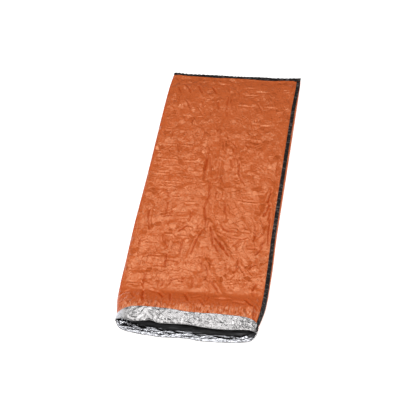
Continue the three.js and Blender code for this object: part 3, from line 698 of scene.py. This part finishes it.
def crumple(x, at):
    """Height of the crumpled facets and of the gathers that run to the mouth, and how deep
    each place lies between two gathers, which sets the painted shade there."""
    facets = LARGE_HEIGHT * LARGE.height(x, at)
    facets += MIDDLE_HEIGHT * MIDDLE.height(x, at)
    facets += SMALL_HEIGHT * SMALL.height(x, at)
    facets *= read(CRUMPLE, "at", "strength", at)
    drawn = GATHERS.height(x, at) * read(CRUMPLE, "at", "gathers", at)
    return facets + GATHER_HEIGHT * drawn, np.clip(-BETWEEN_GATHERS * drawn, 0, 1)


def lining_depth(grid):
    """How far the hidden lining keeps below the outside, so that no crease reaches it."""
    return LINING_DROP * fade(grid.inwards, 3 * MM, EDGE_FADE) * grid.open


def film_relief(grid):
    """Outward relief of the outside of the film, and how deep each place is in a crease,
    which sets the painted shade there.
    """
    x, at = grid.x, grid.at
    relief = np.zeros_like(x)
    groove = np.zeros_like(x)
    top = np.nonzero(grid.upper)[0]
    place = x[:, top], at[:, top]
    dented, creased = crease_relief(*place, CREASES)
    raised, _ = crease_relief(*place, RIDGES)
    crumpled, between = crumple(*place)
    relief[:, top] = dented - raised + patch_relief(*place) + crumpled
    groove[:, top] = np.maximum(creased, between)
    from_tape = section("right", at) - x - section("tape_in", at)
    free_edge = grid.rim - grid.cuff
    mask = fade(grid.inwards, 0, EDGE_FADE) * fade(from_tape, 1 * MM, TAPE_MARGIN)
    mask *= 1 - fade(at, free_edge - CALM_BEFORE_CUFF, free_edge + CALM_UNDER_CUFF)
    mask *= fade(at, *BINDING_CALM)
    mask = np.where(grid.upper, mask, 0)
    return np.maximum(relief * mask, -RELIEF_ROOM * lining_depth(grid)), groove * mask


LIP_WIDTH = 42 * MM            # of the lit front of the lower layer, inside the mouth
LIP_FACETS = Facets(0.011, 4.5, 1.0)
LIP_HEIGHT = 1.2 * MM
LIP_CRUMPLE = Facets(0.026, 1.4, 1.0)
LIP_CRUMPLE_HEIGHT = 2.6 * MM
LIP_SINK = 0.6                 # share of that height by which the lip sinks in
LIP_SETTLE = 6 * MM            # it is smooth this near the rim
LIP_SIDES = 20 * MM, 60 * MM   # and its streaks begin this far from the bag's edges

# Folds inside the mouth, where the lower layer turns up into its two corners.
CORNER_FOLDS = table(
    "x1 at1 x2 at2 width depth",
    (-408, 2010, -388, 2052, 7, 4), (-398, 1998, -368, 2058, 8, 4.5),
    (-384, 1992, -344, 2060, 8, 4.5), (-366, 1990, -318, 2056, 8, 4), (330, 2052, 372, 2030, 9, 4),
    (345, 2060, 396, 2040, 8, 3.5), (300, 2050, 340, 2036, 8, 3),
)


def lip_streaks(throat):
    """Inward height of the long low folds that run along the lower lip."""
    x, at = throat.x, throat.at
    wave = LIP_HEIGHT * LIP_FACETS.height(x, at - 0.1)
    wave += LIP_CRUMPLE_HEIGHT * (LIP_CRUMPLE.height(x, at - 0.1) - LIP_SINK)
    inside = fade(at, throat.rim - 2 * LIP_WIDTH, throat.rim - LIP_WIDTH)
    settle = 1 - fade(at, throat.rim - LIP_SETTLE, throat.rim)
    sides = fade(throat.inwards, *LIP_SIDES)
    folds, _ = crease_relief(x, at, CORNER_FOLDS)
    inwards = np.minimum(folds + (wave - LIP_HEIGHT) * inside * sides, 0) * settle
    return np.where(throat.upper, 0, inwards)


CUFF_FOLDS = table(
    "x1 at1 x2 at2 width depth",
    (-255, 1960, -270, 1988, 8, 4), (-270, 1990, -312, 1992, 8, 4), (-235, 1995, -270, 2024, 8, 4),
    (-153, 1980, -165, 2014, 8, 4.5), (-372, 1992, -366, 2014, 8, 3),
    (-125, 1953, -60, 1957, 6, 1.8), (-345, 1985, -300, 1962, 8, 3), (-220, 1975, -190, 1998, 8, 3),
    (-300, 2016, -240, 2010, 7, 3), (10, 1960, 30, 1975, 7, 2.2), (135, 1977, 190, 1977, 8, 2.6),
    (248, 1984, 272, 1976, 7, 2.2), (320, 1987, 350, 2000, 8, 2.8), (350, 2000, 376, 1990, 8, 2.8),
    (280, 2017, 316, 2017, 7, 2.4), (-330, 2004, -300, 2020, 7, 2), (-90, 1985, -40, 2010, 7, 2.2),
    (60, 1990, 110, 2006, 7, 2.2), (-210, 1958, -180, 1968, 6, 2), (210, 1996, 250, 2010, 7, 2.2),
    (0, 2006, 34, 2014, 6, 2),
)
CUFF_FACETS = (Facets(0.034, 1.6, 1.0), Facets(0.015, 1.5, 1.0))
CUFF_HEIGHTS = (2.2 * MM, 1.0 * MM)
CUFF_TIPS = 13 * MM, 26 * MM   # the cuff is smooth this near its two corners
LOWER_CUFF_PART = 0.35         # the lower layer's cuff lies flatter than the upper's


def cuff_crinkle(throat):
    """Outward crinkles of the cuff, which never press it into the film below."""
    rows = slice(-len(CUFF_SHARES), None)
    x, at = throat.x[rows], throat.at[rows]
    upper = np.broadcast_to(throat.upper, x.shape)
    shifted = np.where(upper, at, at + 0.4)
    total = sum(height * (1 + facets.height(x, shifted - 1.2)) / 2
                for facets, height in zip(CUFF_FACETS, CUFF_HEIGHTS))
    folds, _ = crease_relief(x, at, CUFF_FOLDS)
    total += np.where(upper, folds / CREASE_GAIN, 0)
    tips = fade(throat.inwards[rows], *CUFF_TIPS)
    return np.maximum(total, 0) * np.where(upper, tips, LOWER_CUFF_PART)


UPPER_LIT = 14 * MM            # this much of the upper layer's edge is lit
LIP_UNEVEN = 12 * MM           # the lower layer's lit front ends in such steps
LEFT_CORNER = -390 * MM, -300 * MM
LEFT_WIDENING = 1.3            # in that corner the lit front is wider by this share
LEFT_HALF = -180 * MM, 0 * MM
LEFT_MORE = 14 * MM            # and in the whole left half by this much
RIGHT_CORNER = 365 * MM, 395 * MM
RIGHT_NARROWING = 0.6          # there it is narrower by this share
LIT_BEFORE, LIT_AFTER = 8 * MM, 6 * MM    # its end is soft over this much on each side
DIM_PART = 0.3                 # light on the film behind the lit front
DIM_FAR, DIM_NEAR = 45 * MM, 20 * MM      # where that light is gone and where it is full


def throat_shade(throat):
    """How dark it is inside the mouth. Only the front of the lower layer is lit, further in
    towards the left corner, with a dim zone behind it."""
    x, at = throat.x, throat.at
    lit = LIP_WIDTH * (1 + LEFT_WIDENING * (1 - fade(x, *LEFT_CORNER)))
    lit += LEFT_MORE * (1 - fade(x, *LEFT_HALF))
    lit += LIP_UNEVEN * LIP_CRUMPLE.height(x + 0.03, at - 0.3)
    lit *= 1 - RIGHT_NARROWING * fade(x, *RIGHT_CORNER)
    start = throat.rim - np.where(throat.upper, UPPER_LIT, lit)
    dim = np.where(throat.upper, 0, fade(at, start - DIM_FAR, start - DIM_NEAR))
    return 1 - mix(DIM_PART * dim, 1, fade(at, start - LIT_BEFORE, start + LIT_AFTER))


def add_lining(skin, inner):
    rows = moved(inner, -HALF - lining_depth(inner))
    rings = [skin.ring(points, inner.turn, SILVER_SIDE, shade=1.0) for points in rows]
    skin.cap(rings[0], int(inner.upper.sum()) - 1, SILVER_SIDE, True)


def add_throat(skin, throat):
    free_edge = throat.rim - throat.cuff
    drop = lining_depth(throat) * (1 - fade(throat.at, free_edge, free_edge + LINING_RISE))
    # the lip: the lower layer's front, painted a lighter silver and given its own crinkles
    lip = np.where(throat.upper, 0.0, 1.0)
    rows = moved(throat, lip_streaks(throat) - HALF - drop)
    for points, shade in zip(rows, throat_shade(throat)):
        skin.ring(points, throat.turn, SILVER_SIDE, shade=shade, lip=lip)


HIDDEN_ROWS = 4                # gaps between the rings on the cuff's hidden side
CALM_PART = 0.4                # strength of the finest crinkle on the cuff's left part,
CALM_END = -240 * MM, -120 * MM     # which ends between these
BRIGHT_TIP = 12 * MM, 60 * MM  # the cuff's left tip gets the lip's painted lighter silver, up to this far in


def add_cuff(skin, throat, hidden):
    """Round the rim, along the silver cuff to its free edge, and back under it."""
    for points in rim_turn(throat, RIM_RADIUS + HALF, steps=5):
        skin.ring(points, throat.turn, SILVER_SIDE)
    crinkle = cuff_crinkle(throat)
    calm = mix(CALM_PART, 1, fade(throat.x, *CALM_END))
    # painted light: the cuff's left tip takes the lip's lighter silver and crinkles
    tip = np.where(throat.x < 0, 1 - fade(throat.inwards, *BRIGHT_TIP), 0)
    for i, share in enumerate(reversed(CUFF_SHARES), 1):
        lift = cuff_lift(1 - share) + HALF + crinkle[-i]
        points = moved(throat, lift, -i)
        skin.ring(points, throat.turn, SILVER_SIDE, crumple=calm[-i], lip=tip[-i])
    for i in range(HIDDEN_ROWS, -1, -1):
        lift = cuff_lift(i / HIDDEN_ROWS) - HALF
        skin.ring(moved(hidden, lift, -1 - i), hidden.turn, ORANGE_SIDE)
    for points in reversed(rim_turn(hidden, RIM_RADIUS - HALF, steps=4)):
        skin.ring(points, hidden.turn, ORANGE_SIDE)
    for i in range(3):
        skin.ring(moved(hidden, HALF, -1 - i), hidden.turn, ORANGE_SIDE)


EDGE_WIDTH = 16 * MM           # of the painted shade, a deeper orange, along the left fold that turns from the light
EDGE_WIDTH_AT_MOUTH = 50 * MM
EDGE_WIDE_AT = 1850 * MM       # it has that width from here on
RISE_START = 1790 * MM, 1804 * MM   # the painted shade of the stretched rise begins between these
RISE_END = 1880 * MM, 1910 * MM     # and ends between these
GATHER_MARGIN = 10 * MM, 50 * MM    # the gathers begin this far from the bag's edges


def add_outside(skin, outer):
    """The orange outside, from the mouth back to the foot seam."""
    x, at = outer.x, outer.at
    relief, groove = film_relief(outer)
    # painted shade along the left fold and on the rise behind the mouth, which turn from the light
    edge_width = mix(EDGE_WIDTH, EDGE_WIDTH_AT_MOUTH, fade(at, MOUTH_START, EDGE_WIDE_AT))
    edge = np.where(x < 0, 1 - fade(outer.inwards, 2 * MM, edge_width), 0)
    ragged = at + RISE_UNEVEN * MIDDLE.height(x, at)
    rise = fade(ragged, *RISE_START) * (1 - fade(ragged, *RISE_END))
    values = {
        "crease": groove,
        "crumple": read(CRUMPLE, "at", "strength", at),
        "gathers": read(CRUMPLE, "at", "gathers", at) * fade(outer.inwards, *GATHER_MARGIN),
        "edge": np.maximum(edge, np.where(outer.upper, RISE_SHADE * rise, 0)),
    }
    points = moved(outer, HALF + relief)
    for row in range(len(points) - 1, -1, -1):
        here = {name: value[row] for name, value in values.items()}
        last = skin.ring(points[row], outer.turn, ORANGE_SIDE, **here)
    skin.cap(last, int(outer.upper.sum()) - 1, ORANGE_SIDE, False)


def build_film(materials):
    """One closed sheet: the silver lining from the seam to the mouth, round the rim, the
    silver cuff, back under it, round the rim again and home along the orange outside."""
    fine = loop_columns(CROWN, BELLY_STEPS, BELLY)
    coarse = loop_columns(INNER_CROWN, BELLY_STEPS, INNER_BELLY)
    crinkled = loop_columns(CROWN, THROAT_STEPS, THROAT_BELLY)
    throat_rows = [("fan", mix(THROAT_START, 1, i / THROAT_ROWS)) for i in range(THROAT_ROWS)]
    throat_rows += [("cuff", share) for share in CUFF_SHARES]
    outer_rows = [("body", 0), ("body", SEAM_DEPTH / 2)] + body_rows(OUTER_PITCH)
    outer_rows += fan_rows(math.ceil(FAN_LENGTH / OUTER_PITCH))
    outer_rows += [("cuff", 0.04), ("cuff", 0.1), ("cuff", 0.2)]
    throat = film_grid(crinkled, throat_rows)

    skin = Skin()
    inner_rows = body_rows(INNER_PITCH)
    inner_rows += [(kind, share) for kind, share in fan_rows(INNER_FAN) if share < THROAT_START]
    add_lining(skin, film_grid(coarse, inner_rows))
    add_throat(skin, throat)
    hidden_rows = [("cuff", i / HIDDEN_ROWS) for i in range(HIDDEN_ROWS + 1)]
    add_cuff(skin, throat, film_grid(coarse, hidden_rows))
    add_outside(skin, film_grid(fine, outer_rows))
    place = np.array(skin.points) + np.array(SHIFT)
    film = make_object("film", place, skin.faces, materials, skin.slots)
    for name, values in skin.values.items():
        add_attribute(film, name, values)
    return film


# ---- The tapes
def tube_faces(rings, around):
    """Four-sided faces between rings of points that lie one after another."""
    faces = []
    for i in range(rings - 1):
        for k in range(around):
            here, beside = i * around + k, i * around + (k + 1) % around
            faces.append((here, here + around, beside + around, beside))
    return faces


TAPE_ROW_PITCH = 3.4 * MM
PUCKER_PITCH = 26 * MM
PUCKER_HEIGHT = 1.6 * MM
PUCKER_START = 32 * MM, 60 * MM     # the puckers begin between these from the foot seam
PUCKER_END = 26 * MM, 4 * MM        # and end between these before the cuff
TAPE_FAN = 80                  # rows of the side tape from MOUTH_START to the cuff
CUFF_TAPE_ROWS = 12            # rows of a tape for the whole length of the cuff


def strip_columns(steps):
    """Columns near the right edge of the upper layer, from the inside outwards."""
    count = len(steps)
    bare, tape, beyond = np.array(steps, dtype=float).T
    return {"upper": np.ones(count), "side": np.ones(count), "bare": bare, "tape": tape,
            "beyond": beyond * MM, "share": np.zeros(count)}


def pucker(at, across):
    """Irregular bulges along a tape that was sewn on under tension."""
    total = np.zeros(np.broadcast(at, across).shape)
    place = 0.0
    while place < LENGTH:
        pitch = PUCKER_PITCH * RANDOM.uniform(0.7, 1.35)
        lean = RANDOM.uniform(-7, 7) * MM
        middle = place + pitch / 2 + lean * (across - 0.5)
        reach = 0.5 * pitch * RANDOM.uniform(0.75, 1.0)
        height = RANDOM.uniform(0.35, 1.0)
        rise = np.clip(1 - ((at - middle) / reach) ** 2, 0, 1)
        total = np.maximum(total, height * rise)
        place += pitch
    return total * (0.45 + 0.55 * np.sin(math.pi * np.clip(across, 0, 1)))


def make_strip(name, grid, heights, thickness, materials):
    """A tape on the film: its points lie the given heights above the film's middle."""
    keep = slice(1, -1)        # the two outer columns only give the directions
    under = moved(grid, heights)[:, keep]
    over = moved(grid, heights + thickness)[:, keep]
    count = under.shape[1]
    rings = np.concatenate([under, over[:, ::-1]], axis=1)
    around = 2 * count
    faces = tube_faces(len(rings), around)
    last = (len(rings) - 1) * around
    for k in range(count - 1):
        end = (k, k + 1, around - 2 - k, around - 1 - k)
        faces.append(end)
        faces.append(tuple(last + corner for corner in reversed(end)))
    points = rings.reshape(-1, 3) + np.array(SHIFT)
    return make_object(name, points, faces, materials)


def build_side_tape(materials):
    shares = [1, 0.93, 0.82, 0.66, 0.5, 0.34, 0.18, 0.07, 0]
    steps = [(1, 1, 5)] + [(1, share, 0) for share in shares] + [(0.5, 0, 0)]
    rows = body_rows(TAPE_ROW_PITCH) + fan_rows(TAPE_FAN)
    rows += [("cuff", i / CUFF_TAPE_ROWS) for i in range(1, 5)]
    grid = film_grid(strip_columns(steps), rows)
    across = np.array([1.2] + shares + [-0.2])
    bulge = PUCKER_HEIGHT * pucker(grid.at, across)
    free_edge = grid.rim - grid.cuff
    bulge *= 1 - fade(grid.at, free_edge - PUCKER_END[0], free_edge - PUCKER_END[1])
    bulge *= fade(grid.at, *PUCKER_START)
    return make_strip("tape_along_side", grid, HALF + GAP + bulge, TAPE_THICKNESS, materials)


def build_tape_end(materials):
    steps = [(1, 0.75, 0), (1, 0.5, 0), (1, 0.25, 0), (1, 0, 0)]
    steps += [(0.7, 0, 0), (0.35, 0, 0), (0.1, 0, 0)]
    shares = [i / CUFF_TAPE_ROWS for i in range(9)]
    grid = film_grid(strip_columns(steps), [("cuff", share) for share in shares])
    lifts = np.array([cuff_lift(1 - share) for share in shares])[:, None]
    return make_strip("tape_nub", grid, HALF + GAP + lifts, TAPE_THICKNESS, materials)


BINDING_STATIONS = 300
BINDING_BEVEL = 0.8 * MM
CORNER_OVERHANG = 3 * MM
BINDING_LUMP = 3 * MM          # the puckered binding bulges by this at most
LUMPS_END = 405 * MM, 425 * MM      # and lies flat from here to the right corner
CORNER_LUMP = 3 * MM           # the left corner bulges by this more
CORNER_LUMP_END = -425 * MM, -385 * MM
BINDING_CREST = 0.35           # share of the upper leg that lies before its highest line


def build_binding(materials):
    """The foot binding: one tape folded over the seam, its upper leg a little puckered."""
    low = TAPE_THICKNESS
    high = TAPE_THICKNESS + 2 * GAP + 2 * FILM + SEAM_SPACE
    height = high + TAPE_THICKNESS
    nose = SEAM_CLEARANCE + TAPE_THICKNESS
    start, end = SECTIONS["left"][0] - 1 * MM, SECTIONS["right"][0] + CORNER_OVERHANG
    x = np.linspace(start, end, BINDING_STATIONS + 1)
    seam = LENGTH + read(SEAM_LINE, "x", "out", x)
    upper = read(BINDING_LEGS, "x", "upper", x)
    lower = read(BINDING_LEGS, "x", "lower", x)
    lumps = pucker(x + 0.5, np.full_like(x, 0.5))
    bulge = BINDING_LUMP * lumps * (1 - fade(x, *LUMPS_END))
    bulge += CORNER_LUMP * (1 - fade(x, *CORNER_LUMP_END))
    zero = np.zeros_like(x)
    inner = BINDING_CREST * upper
    profile = [
        (-lower, zero), (nose - BINDING_BEVEL + zero, zero), (nose + zero, BINDING_BEVEL + zero),
        (nose + bulge, height - BINDING_BEVEL + 0.6 * bulge),
        (nose - BINDING_BEVEL + 0.6 * bulge, height + bulge),
        (-inner, height + bulge), (-upper, height + 0.4 * bulge),
        (-upper, high + zero), (SEAM_CLEARANCE + zero, high + zero),
        (SEAM_CLEARANCE + zero, low + zero), (-lower, low + zero),
    ]
    rings = np.stack([np.stack([x, seam + past, z], axis=-1) for past, z in profile], axis=1)
    around = len(profile)
    faces = tube_faces(len(rings), around)
    first = list(range(around))
    last = [BINDING_STATIONS * around + k for k in reversed(first)]
    faces += [first, last]
    points = rings.reshape(-1, 3) + np.array(SHIFT)
    return make_object("tape_round_foot", points, faces, materials)


# ---- Materials
class Value:
    """A number, vector or colour in a node tree."""

    def __init__(self, nodes, socket):
        self.nodes = nodes
        self.socket = socket

    def output(self, name):
        """Another output of the same node."""
        return Value(self.nodes, self.socket.node.outputs[name])

    def __add__(self, other):
        return self.nodes.math("ADD", self, other)

    def __mul__(self, other):
        return self.nodes.math("MULTIPLY", self, other)

    def __rsub__(self, other):
        return self.nodes.math("SUBTRACT", other, self)


SMOOTH = {"interpolation_type": "SMOOTHSTEP"}


class Nodes:
    """Short names for building the node tree of a material or of the world."""

    def __init__(self, owner):
        owner.use_nodes = True
        self.owner = owner
        self.tree = owner.node_tree

    def put(self, socket, value):
        if isinstance(value, Value):
            self.tree.links.new(value.socket, socket)
        else:
            socket.default_value = value

    def fill(self, node, inputs):
        for name, value in inputs.items():
            self.put(node.inputs[name.replace("_", " ")], value)

    def add(self, kind, *values, settings=None, **inputs):
        """First output of a new node. Values go to its inputs in order or by name."""
        node = self.tree.nodes.new(kind)
        for name, value in (settings or {}).items():
            setattr(node, name, value)
        for socket, value in zip(node.inputs, values):
            self.put(socket, value)
        self.fill(node, inputs)
        return Value(self, node.outputs[0])

    def finish(self, name, **inputs):
        """Fills in the tree's own surface node, and gives back the tree's owner."""
        self.fill(self.tree.nodes[name], inputs)
        return self.owner

    def math(self, operation, *values):
        return self.add("ShaderNodeMath", *values, settings={"operation": operation})

    def vector(self, operation, *values, **inputs):
        kind = {"operation": operation}
        return self.add("ShaderNodeVectorMath", *values, settings=kind, **inputs)

    def mix_color(self, factor, a, b):
        """Colour between two. The mix node keeps sockets of every type, so these go by number."""
        node = self.tree.nodes.new("ShaderNodeMix")
        node.data_type = "RGBA"
        for index, value in ((0, factor), (6, a), (7, b)):
            self.put(node.inputs[index], value)
        return Value(self, node.outputs[2])

    def place(self, x=1.0, y=1.0):
        """The place on the object in metres, stretched across and along."""
        place = self.add("ShaderNodeTexCoord").output("Object")
        return self.vector("MULTIPLY", place, (x, y, 1.0))

    def noise(self, place, scale, detail):
        noise = self.add("ShaderNodeTexNoise", Vector=place, Scale=scale, Detail=detail)
        return noise.output("Fac")

    def warped(self, place, scale, amount):
        noise = self.noise(place, scale, 2.0).output("Color")
        offset = self.vector("SUBTRACT", noise, (0.5, 0.5, 0.5))
        return self.vector("ADD", place, self.vector("SCALE", offset, Scale=amount))

    def attribute(self, name):
        return self.add("ShaderNodeAttribute", settings={"attribute_name": name}).output("Fac")

    def spread(self, value, low, high, **inputs):
        """0 at low, 1 at high and held at both ends."""
        return self.add("ShaderNodeMapRange", Value=value, From_Min=low, From_Max=high, **inputs)

    def pyramids(self, place, size, height):
        """Height in metres of low pyramids with sharp edges: the Manhattan distance to the
        nearest of many scattered points."""
        cells = self.add("ShaderNodeTexVoronoi", settings={"distance": "MANHATTAN"},
                         Vector=place, Scale=1 / size)
        return cells.output("Distance") * height

    def leaning_cells(self, place, size, slope):
        """Height in metres of scattered flat cells. Each leans its own way, and only a few
        lean by as much as the slope."""
        cells = self.add("ShaderNodeTexVoronoi", Vector=place, Scale=1 / size)
        offset = self.vector("SUBTRACT", place, cells.output("Position"))
        lean = self.vector("SUBTRACT", cells.output("Color"), (0.5, 0.5, 0.5))
        parts = self.add("ShaderNodeSeparateColor", Color=cells.output("Color"))
        rare = self.math("POWER", parts.output("Blue"), 2.0)
        along = self.vector("DOT_PRODUCT", offset, lean).output("Value")
        return along * rare * (4 * slope)

    def cell_lines(self, place, size, width, depth):
        """Height in metres of fine creases: the edges of scattered cells, each a groove of
        the given width and depth, that come and go."""
        cells = self.add("ShaderNodeTexVoronoi", settings={"feature": "DISTANCE_TO_EDGE"},
                         Vector=place, Scale=1 / size)
        inside = self.add("ShaderNodeMapRange", settings=SMOOTH, Value=cells.output("Distance"),
                          From_Max=0.5 * width / size, To_Min=-depth, To_Max=0.0)
        return inside * self.spread(self.noise(place, 0.45 / size, 1.0), 0.42, 0.6)

    def bump(self, height):
        return self.add("ShaderNodeBump", Height=height, Strength=1.0, Distance=1.0)


ORANGE_DEEP, ORANGE_LIGHT = (0.57, 0.100, 0.017, 1), (0.655, 0.122, 0.025, 1)
# painted shade of the grooves
GROOVE_SHADE_COLOR = (0.46, 0.058, 0.005, 1)
# painted highlight on the gathers
GLINT_COLOR = (0.70, 0.22, 0.10, 1)
# painted shade of the left fold and the rise
EDGE_SHADE_COLOR = (0.46, 0.055, 0.004, 1)
CUFF_SILVER = (0.41, 0.40, 0.40, 1)
# painted light: a lighter, bluer copy of the silver for the lip
LIP_SILVER_LIT = (0.60, 0.61, 0.65, 1)
# painted shade inside the mouth
OPENING_SHADE = (0.055, 0.051, 0.047, 1)
TAPE_BLACK, TAPE_GREY = (0.004, 0.003, 0.003, 1), (0.017, 0.014, 0.013, 1)
SPECK_COLOR = (0.11, 0.092, 0.086, 1)


def film_material():
    nodes = Nodes(bpy.data.materials.new("orange film"))
    blotch = nodes.noise(nodes.place(), 3.5, 3.0)
    base = nodes.mix_color(blotch, ORANGE_DEEP, ORANGE_LIGHT)
    warped = nodes.warped(nodes.place(0.9, 1.05), 18.0, 0.014)
    facets = nodes.leaning_cells(warped, 28 * MM, 0.16)
    facets += nodes.pyramids(warped, 15 * MM, 0.85 * MM)
    bent = nodes.warped(nodes.place(1.1, 0.9), 14.0, 0.014)
    lines = nodes.cell_lines(bent, 62 * MM, 9 * MM, 1.3 * MM)
    lines += nodes.cell_lines(bent, 30 * MM, 6 * MM, 0.6 * MM)
    aside = nodes.vector("ADD", bent, (3.1, 1.7, 0.0))
    raised = nodes.cell_lines(aside, 46 * MM, 10 * MM, -0.9 * MM)
    gathers = nodes.attribute("gathers")
    drawn = nodes.leaning_cells(nodes.warped(nodes.place(1, 0.45), 20.0, 0.012), 10 * MM, 0.5)
    height = (facets + lines + raised) * nodes.attribute("crumple") + drawn * gathers

    # painted shade: creases and the valleys between gathers go deeper orange and less glossy
    groove = nodes.attribute("crease") + lines * (-0.16 / MM)
    groove = nodes.spread(groove, 0.08, 1.0, settings=SMOOTH)
    # painted highlight: lighter orange streaks stand for the glints on the gathers
    glint = nodes.spread(nodes.noise(nodes.place(1, 0.35), 115.0, 1.0), 0.49, 0.63) * gathers
    edge = nodes.attribute("edge")
    color = nodes.mix_color(groove, base, GROOVE_SHADE_COLOR)
    color = nodes.mix_color(glint, color, GLINT_COLOR)
    # painted shade: deeper orange and less gloss along the left fold and on the rise
    color = nodes.mix_color(edge * 0.6, color, EDGE_SHADE_COLOR)
    gloss = nodes.math("MAXIMUM", 0.5 - (edge * 0.45 + groove * 0.35), 0.05)
    return nodes.finish(
        "Principled BSDF", Base_Color=color, Metallic=0.06, Roughness=0.21, IOR=1.80,
        Specular_IOR_Level=gloss, Specular_Tint=(1.0, 0.95, 0.62, 1), Normal=nodes.bump(height))


def lining_material():
    nodes = Nodes(bpy.data.materials.new("silver lining"))
    lip, shade = nodes.attribute("lip"), nodes.attribute("shade")
    # painted light: the lip and the cuff's left tip get a lighter, bluer silver than the rest of
    # the cuff
    silver = nodes.mix_color(lip, CUFF_SILVER, LIP_SILVER_LIT)
    # painted shade: the silver goes dark inside the mouth and on the hidden lining
    color = nodes.mix_color(shade, silver, OPENING_SHADE)
    place = nodes.warped(nodes.place(0.8, 1.2), 14.0, 0.035)
    on_cuff = nodes.pyramids(place, 36 * MM, 4.2 * MM) + nodes.pyramids(place, 11 * MM, 0.9 * MM)
    on_cuff += nodes.cell_lines(place, 45 * MM, 7 * MM, 1.8 * MM)
    place = nodes.warped(nodes.place(0.5, 1.2), 20.0, 0.02)
    on_lip = nodes.pyramids(place, 22 * MM, 5.0 * MM) + nodes.pyramids(place, 9 * MM, 1.6 * MM)
    lit = 1.0 - shade
    height = (on_lip * lip + on_cuff * (1.0 - lip)) * nodes.attribute("crumple") * lit
    return nodes.finish("Principled BSDF", Base_Color=color, Metallic=1.0,
                        Roughness=0.7 - lit * 0.45, Normal=nodes.bump(height))


def tape_material(name, roughness, gloss):
    nodes = Nodes(bpy.data.materials.new(name))
    noise = nodes.noise(nodes.place(), 120.0, 3.0)
    black = nodes.mix_color(noise, TAPE_BLACK, TAPE_GREY)
    specks = nodes.spread(nodes.noise(nodes.place(0.4, 1), 95.0, 2.0), 0.52, 0.66)
    color = nodes.mix_color(specks, black, SPECK_COLOR)
    ribs = nodes.add("ShaderNodeTexWave", settings={"bands_direction": "Y"}, Vector=nodes.place(),
                     Scale=100.0, Distortion=1.5, Detail=2.0).output("Fac")
    return nodes.finish("Principled BSDF", Base_Color=color, Roughness=roughness,
                        Specular_IOR_Level=gloss, Normal=nodes.bump(ribs * (0.5 * MM)))


def floor_material():
    nodes = Nodes(bpy.data.materials.new("white floor"))
    return nodes.finish("Principled BSDF", Base_Color=(0.8, 0.8, 0.8, 1), Roughness=0.9,
                        Emission_Color=(1, 1, 1, 1), Emission_Strength=0.62)


# ---- The bag, the floor, the lights and the camera
ORANGE, SILVER = film_material(), lining_material()
SIDE_BLACK = tape_material("black tape", 0.55, 0.16)
FOOT_BLACK = tape_material("black binding", 0.7, 0.12)

film = build_film([ORANGE, SILVER])
side_tape = build_side_tape([SIDE_BLACK])
tape_end = build_tape_end([FOOT_BLACK])
binding = build_binding([FOOT_BLACK])

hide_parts("shell")
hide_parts("side_tape")
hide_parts("side_tape_end")
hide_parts("foot_binding")
for piece in (film, side_tape, tape_end, binding):
    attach(piece, "root")

FLOOR_SIZE = 40.0
FLOOR_HEIGHT = -0.5 * MM
floor_corners = [(-1, -1), (1, -1), (1, 1), (-1, 1)]
floor = make_object(
    "floor", [(FLOOR_SIZE * x, FLOOR_SIZE * y, FLOOR_HEIGHT) for x, y in floor_corners],
    [(0, 1, 2, 3)], [floor_material()])


def area_light(name, place, target, width, length, power):
    data = bpy.data.lights.new(name, "AREA")
    data.shape = "RECTANGLE"
    data.size, data.size_y = width, length
    data.energy = power
    light = bpy.data.objects.new(name, data)
    light.location = place
    light.rotation_mode = "QUATERNION"
    light.rotation_quaternion = (Vector(target) - Vector(place)).to_track_quat("-Z", "Y")
    bpy.context.scene.collection.objects.link(light)


area_light("overhead", (-0.75, 0.0, 3.2), (-0.75, 0.0, 0), 2.2, 5.06, 55)
area_light("front panel", (1.2, -3.2, 3.4), (0, 0, 0), 3.0, 2.4, 78)
area_light("right panel", (3.4, 0.7, 2.8), (0.1, 0.4, 0), 2.0, 2.0, 28)
area_light("narrow strip", (0.3, 0.25, 3.1), (0.3, 0.25, 0), 3.2, 0.22, 9)
area_light("left panel", (-3.6, -0.3, 1.9), (0, -0.8, 0), 3.2, 3.4, 40)


def make_world():
    """A dim studio that is darkest at the horizon."""
    nodes = Nodes(bpy.data.worlds.new("studio"))
    direction = nodes.add("ShaderNodeTexCoord").output("Generated")
    upwards = nodes.add("ShaderNodeSeparateXYZ", direction).output("Z")
    strength = nodes.spread(upwards, 0.0, 0.9, To_Min=0.05, To_Max=0.30)
    return nodes.finish("Background", Color=(1.0, 0.98, 0.97, 1), Strength=strength)


scene = bpy.context.scene
scene.world = make_world()
scene.view_settings.view_transform = "Standard"
scene.view_settings.look = "None"
scene.view_settings.exposure = 0.0

CAMERA_AZIMUTH = math.radians(18.0936)
CAMERA_ELEVATION = math.radians(53.3442)
CAMERA_ROLL = math.radians(-10.5685)
CAMERA_DISTANCE = 6.4921
CAMERA_TARGET = Vector((-0.0127, -0.0987, 0))
CAMERA_SENSOR, CAMERA_LENS = 36, 88.27    # in millimetres


def make_camera():
    flat = math.cos(CAMERA_ELEVATION)
    back = Vector((math.sin(CAMERA_AZIMUTH) * flat, -math.cos(CAMERA_AZIMUTH) * flat,
                   math.sin(CAMERA_ELEVATION)))
    level = Vector((0, 0, 1)).cross(back).normalized()
    upright = back.cross(level)
    right = level * math.cos(CAMERA_ROLL) + upright * math.sin(CAMERA_ROLL)
    up = upright * math.cos(CAMERA_ROLL) - level * math.sin(CAMERA_ROLL)
    data = bpy.data.cameras.new("camera")
    data.sensor_width = CAMERA_SENSOR
    data.lens = CAMERA_LENS
    data.clip_end = 100
    camera = bpy.data.objects.new("camera", data)
    camera.matrix_world = Matrix((right, up, back)).transposed().to_4x4()
    camera.location = CAMERA_TARGET + back * CAMERA_DISTANCE
    bpy.context.scene.collection.objects.link(camera)
    return camera


scene.camera = make_camera()
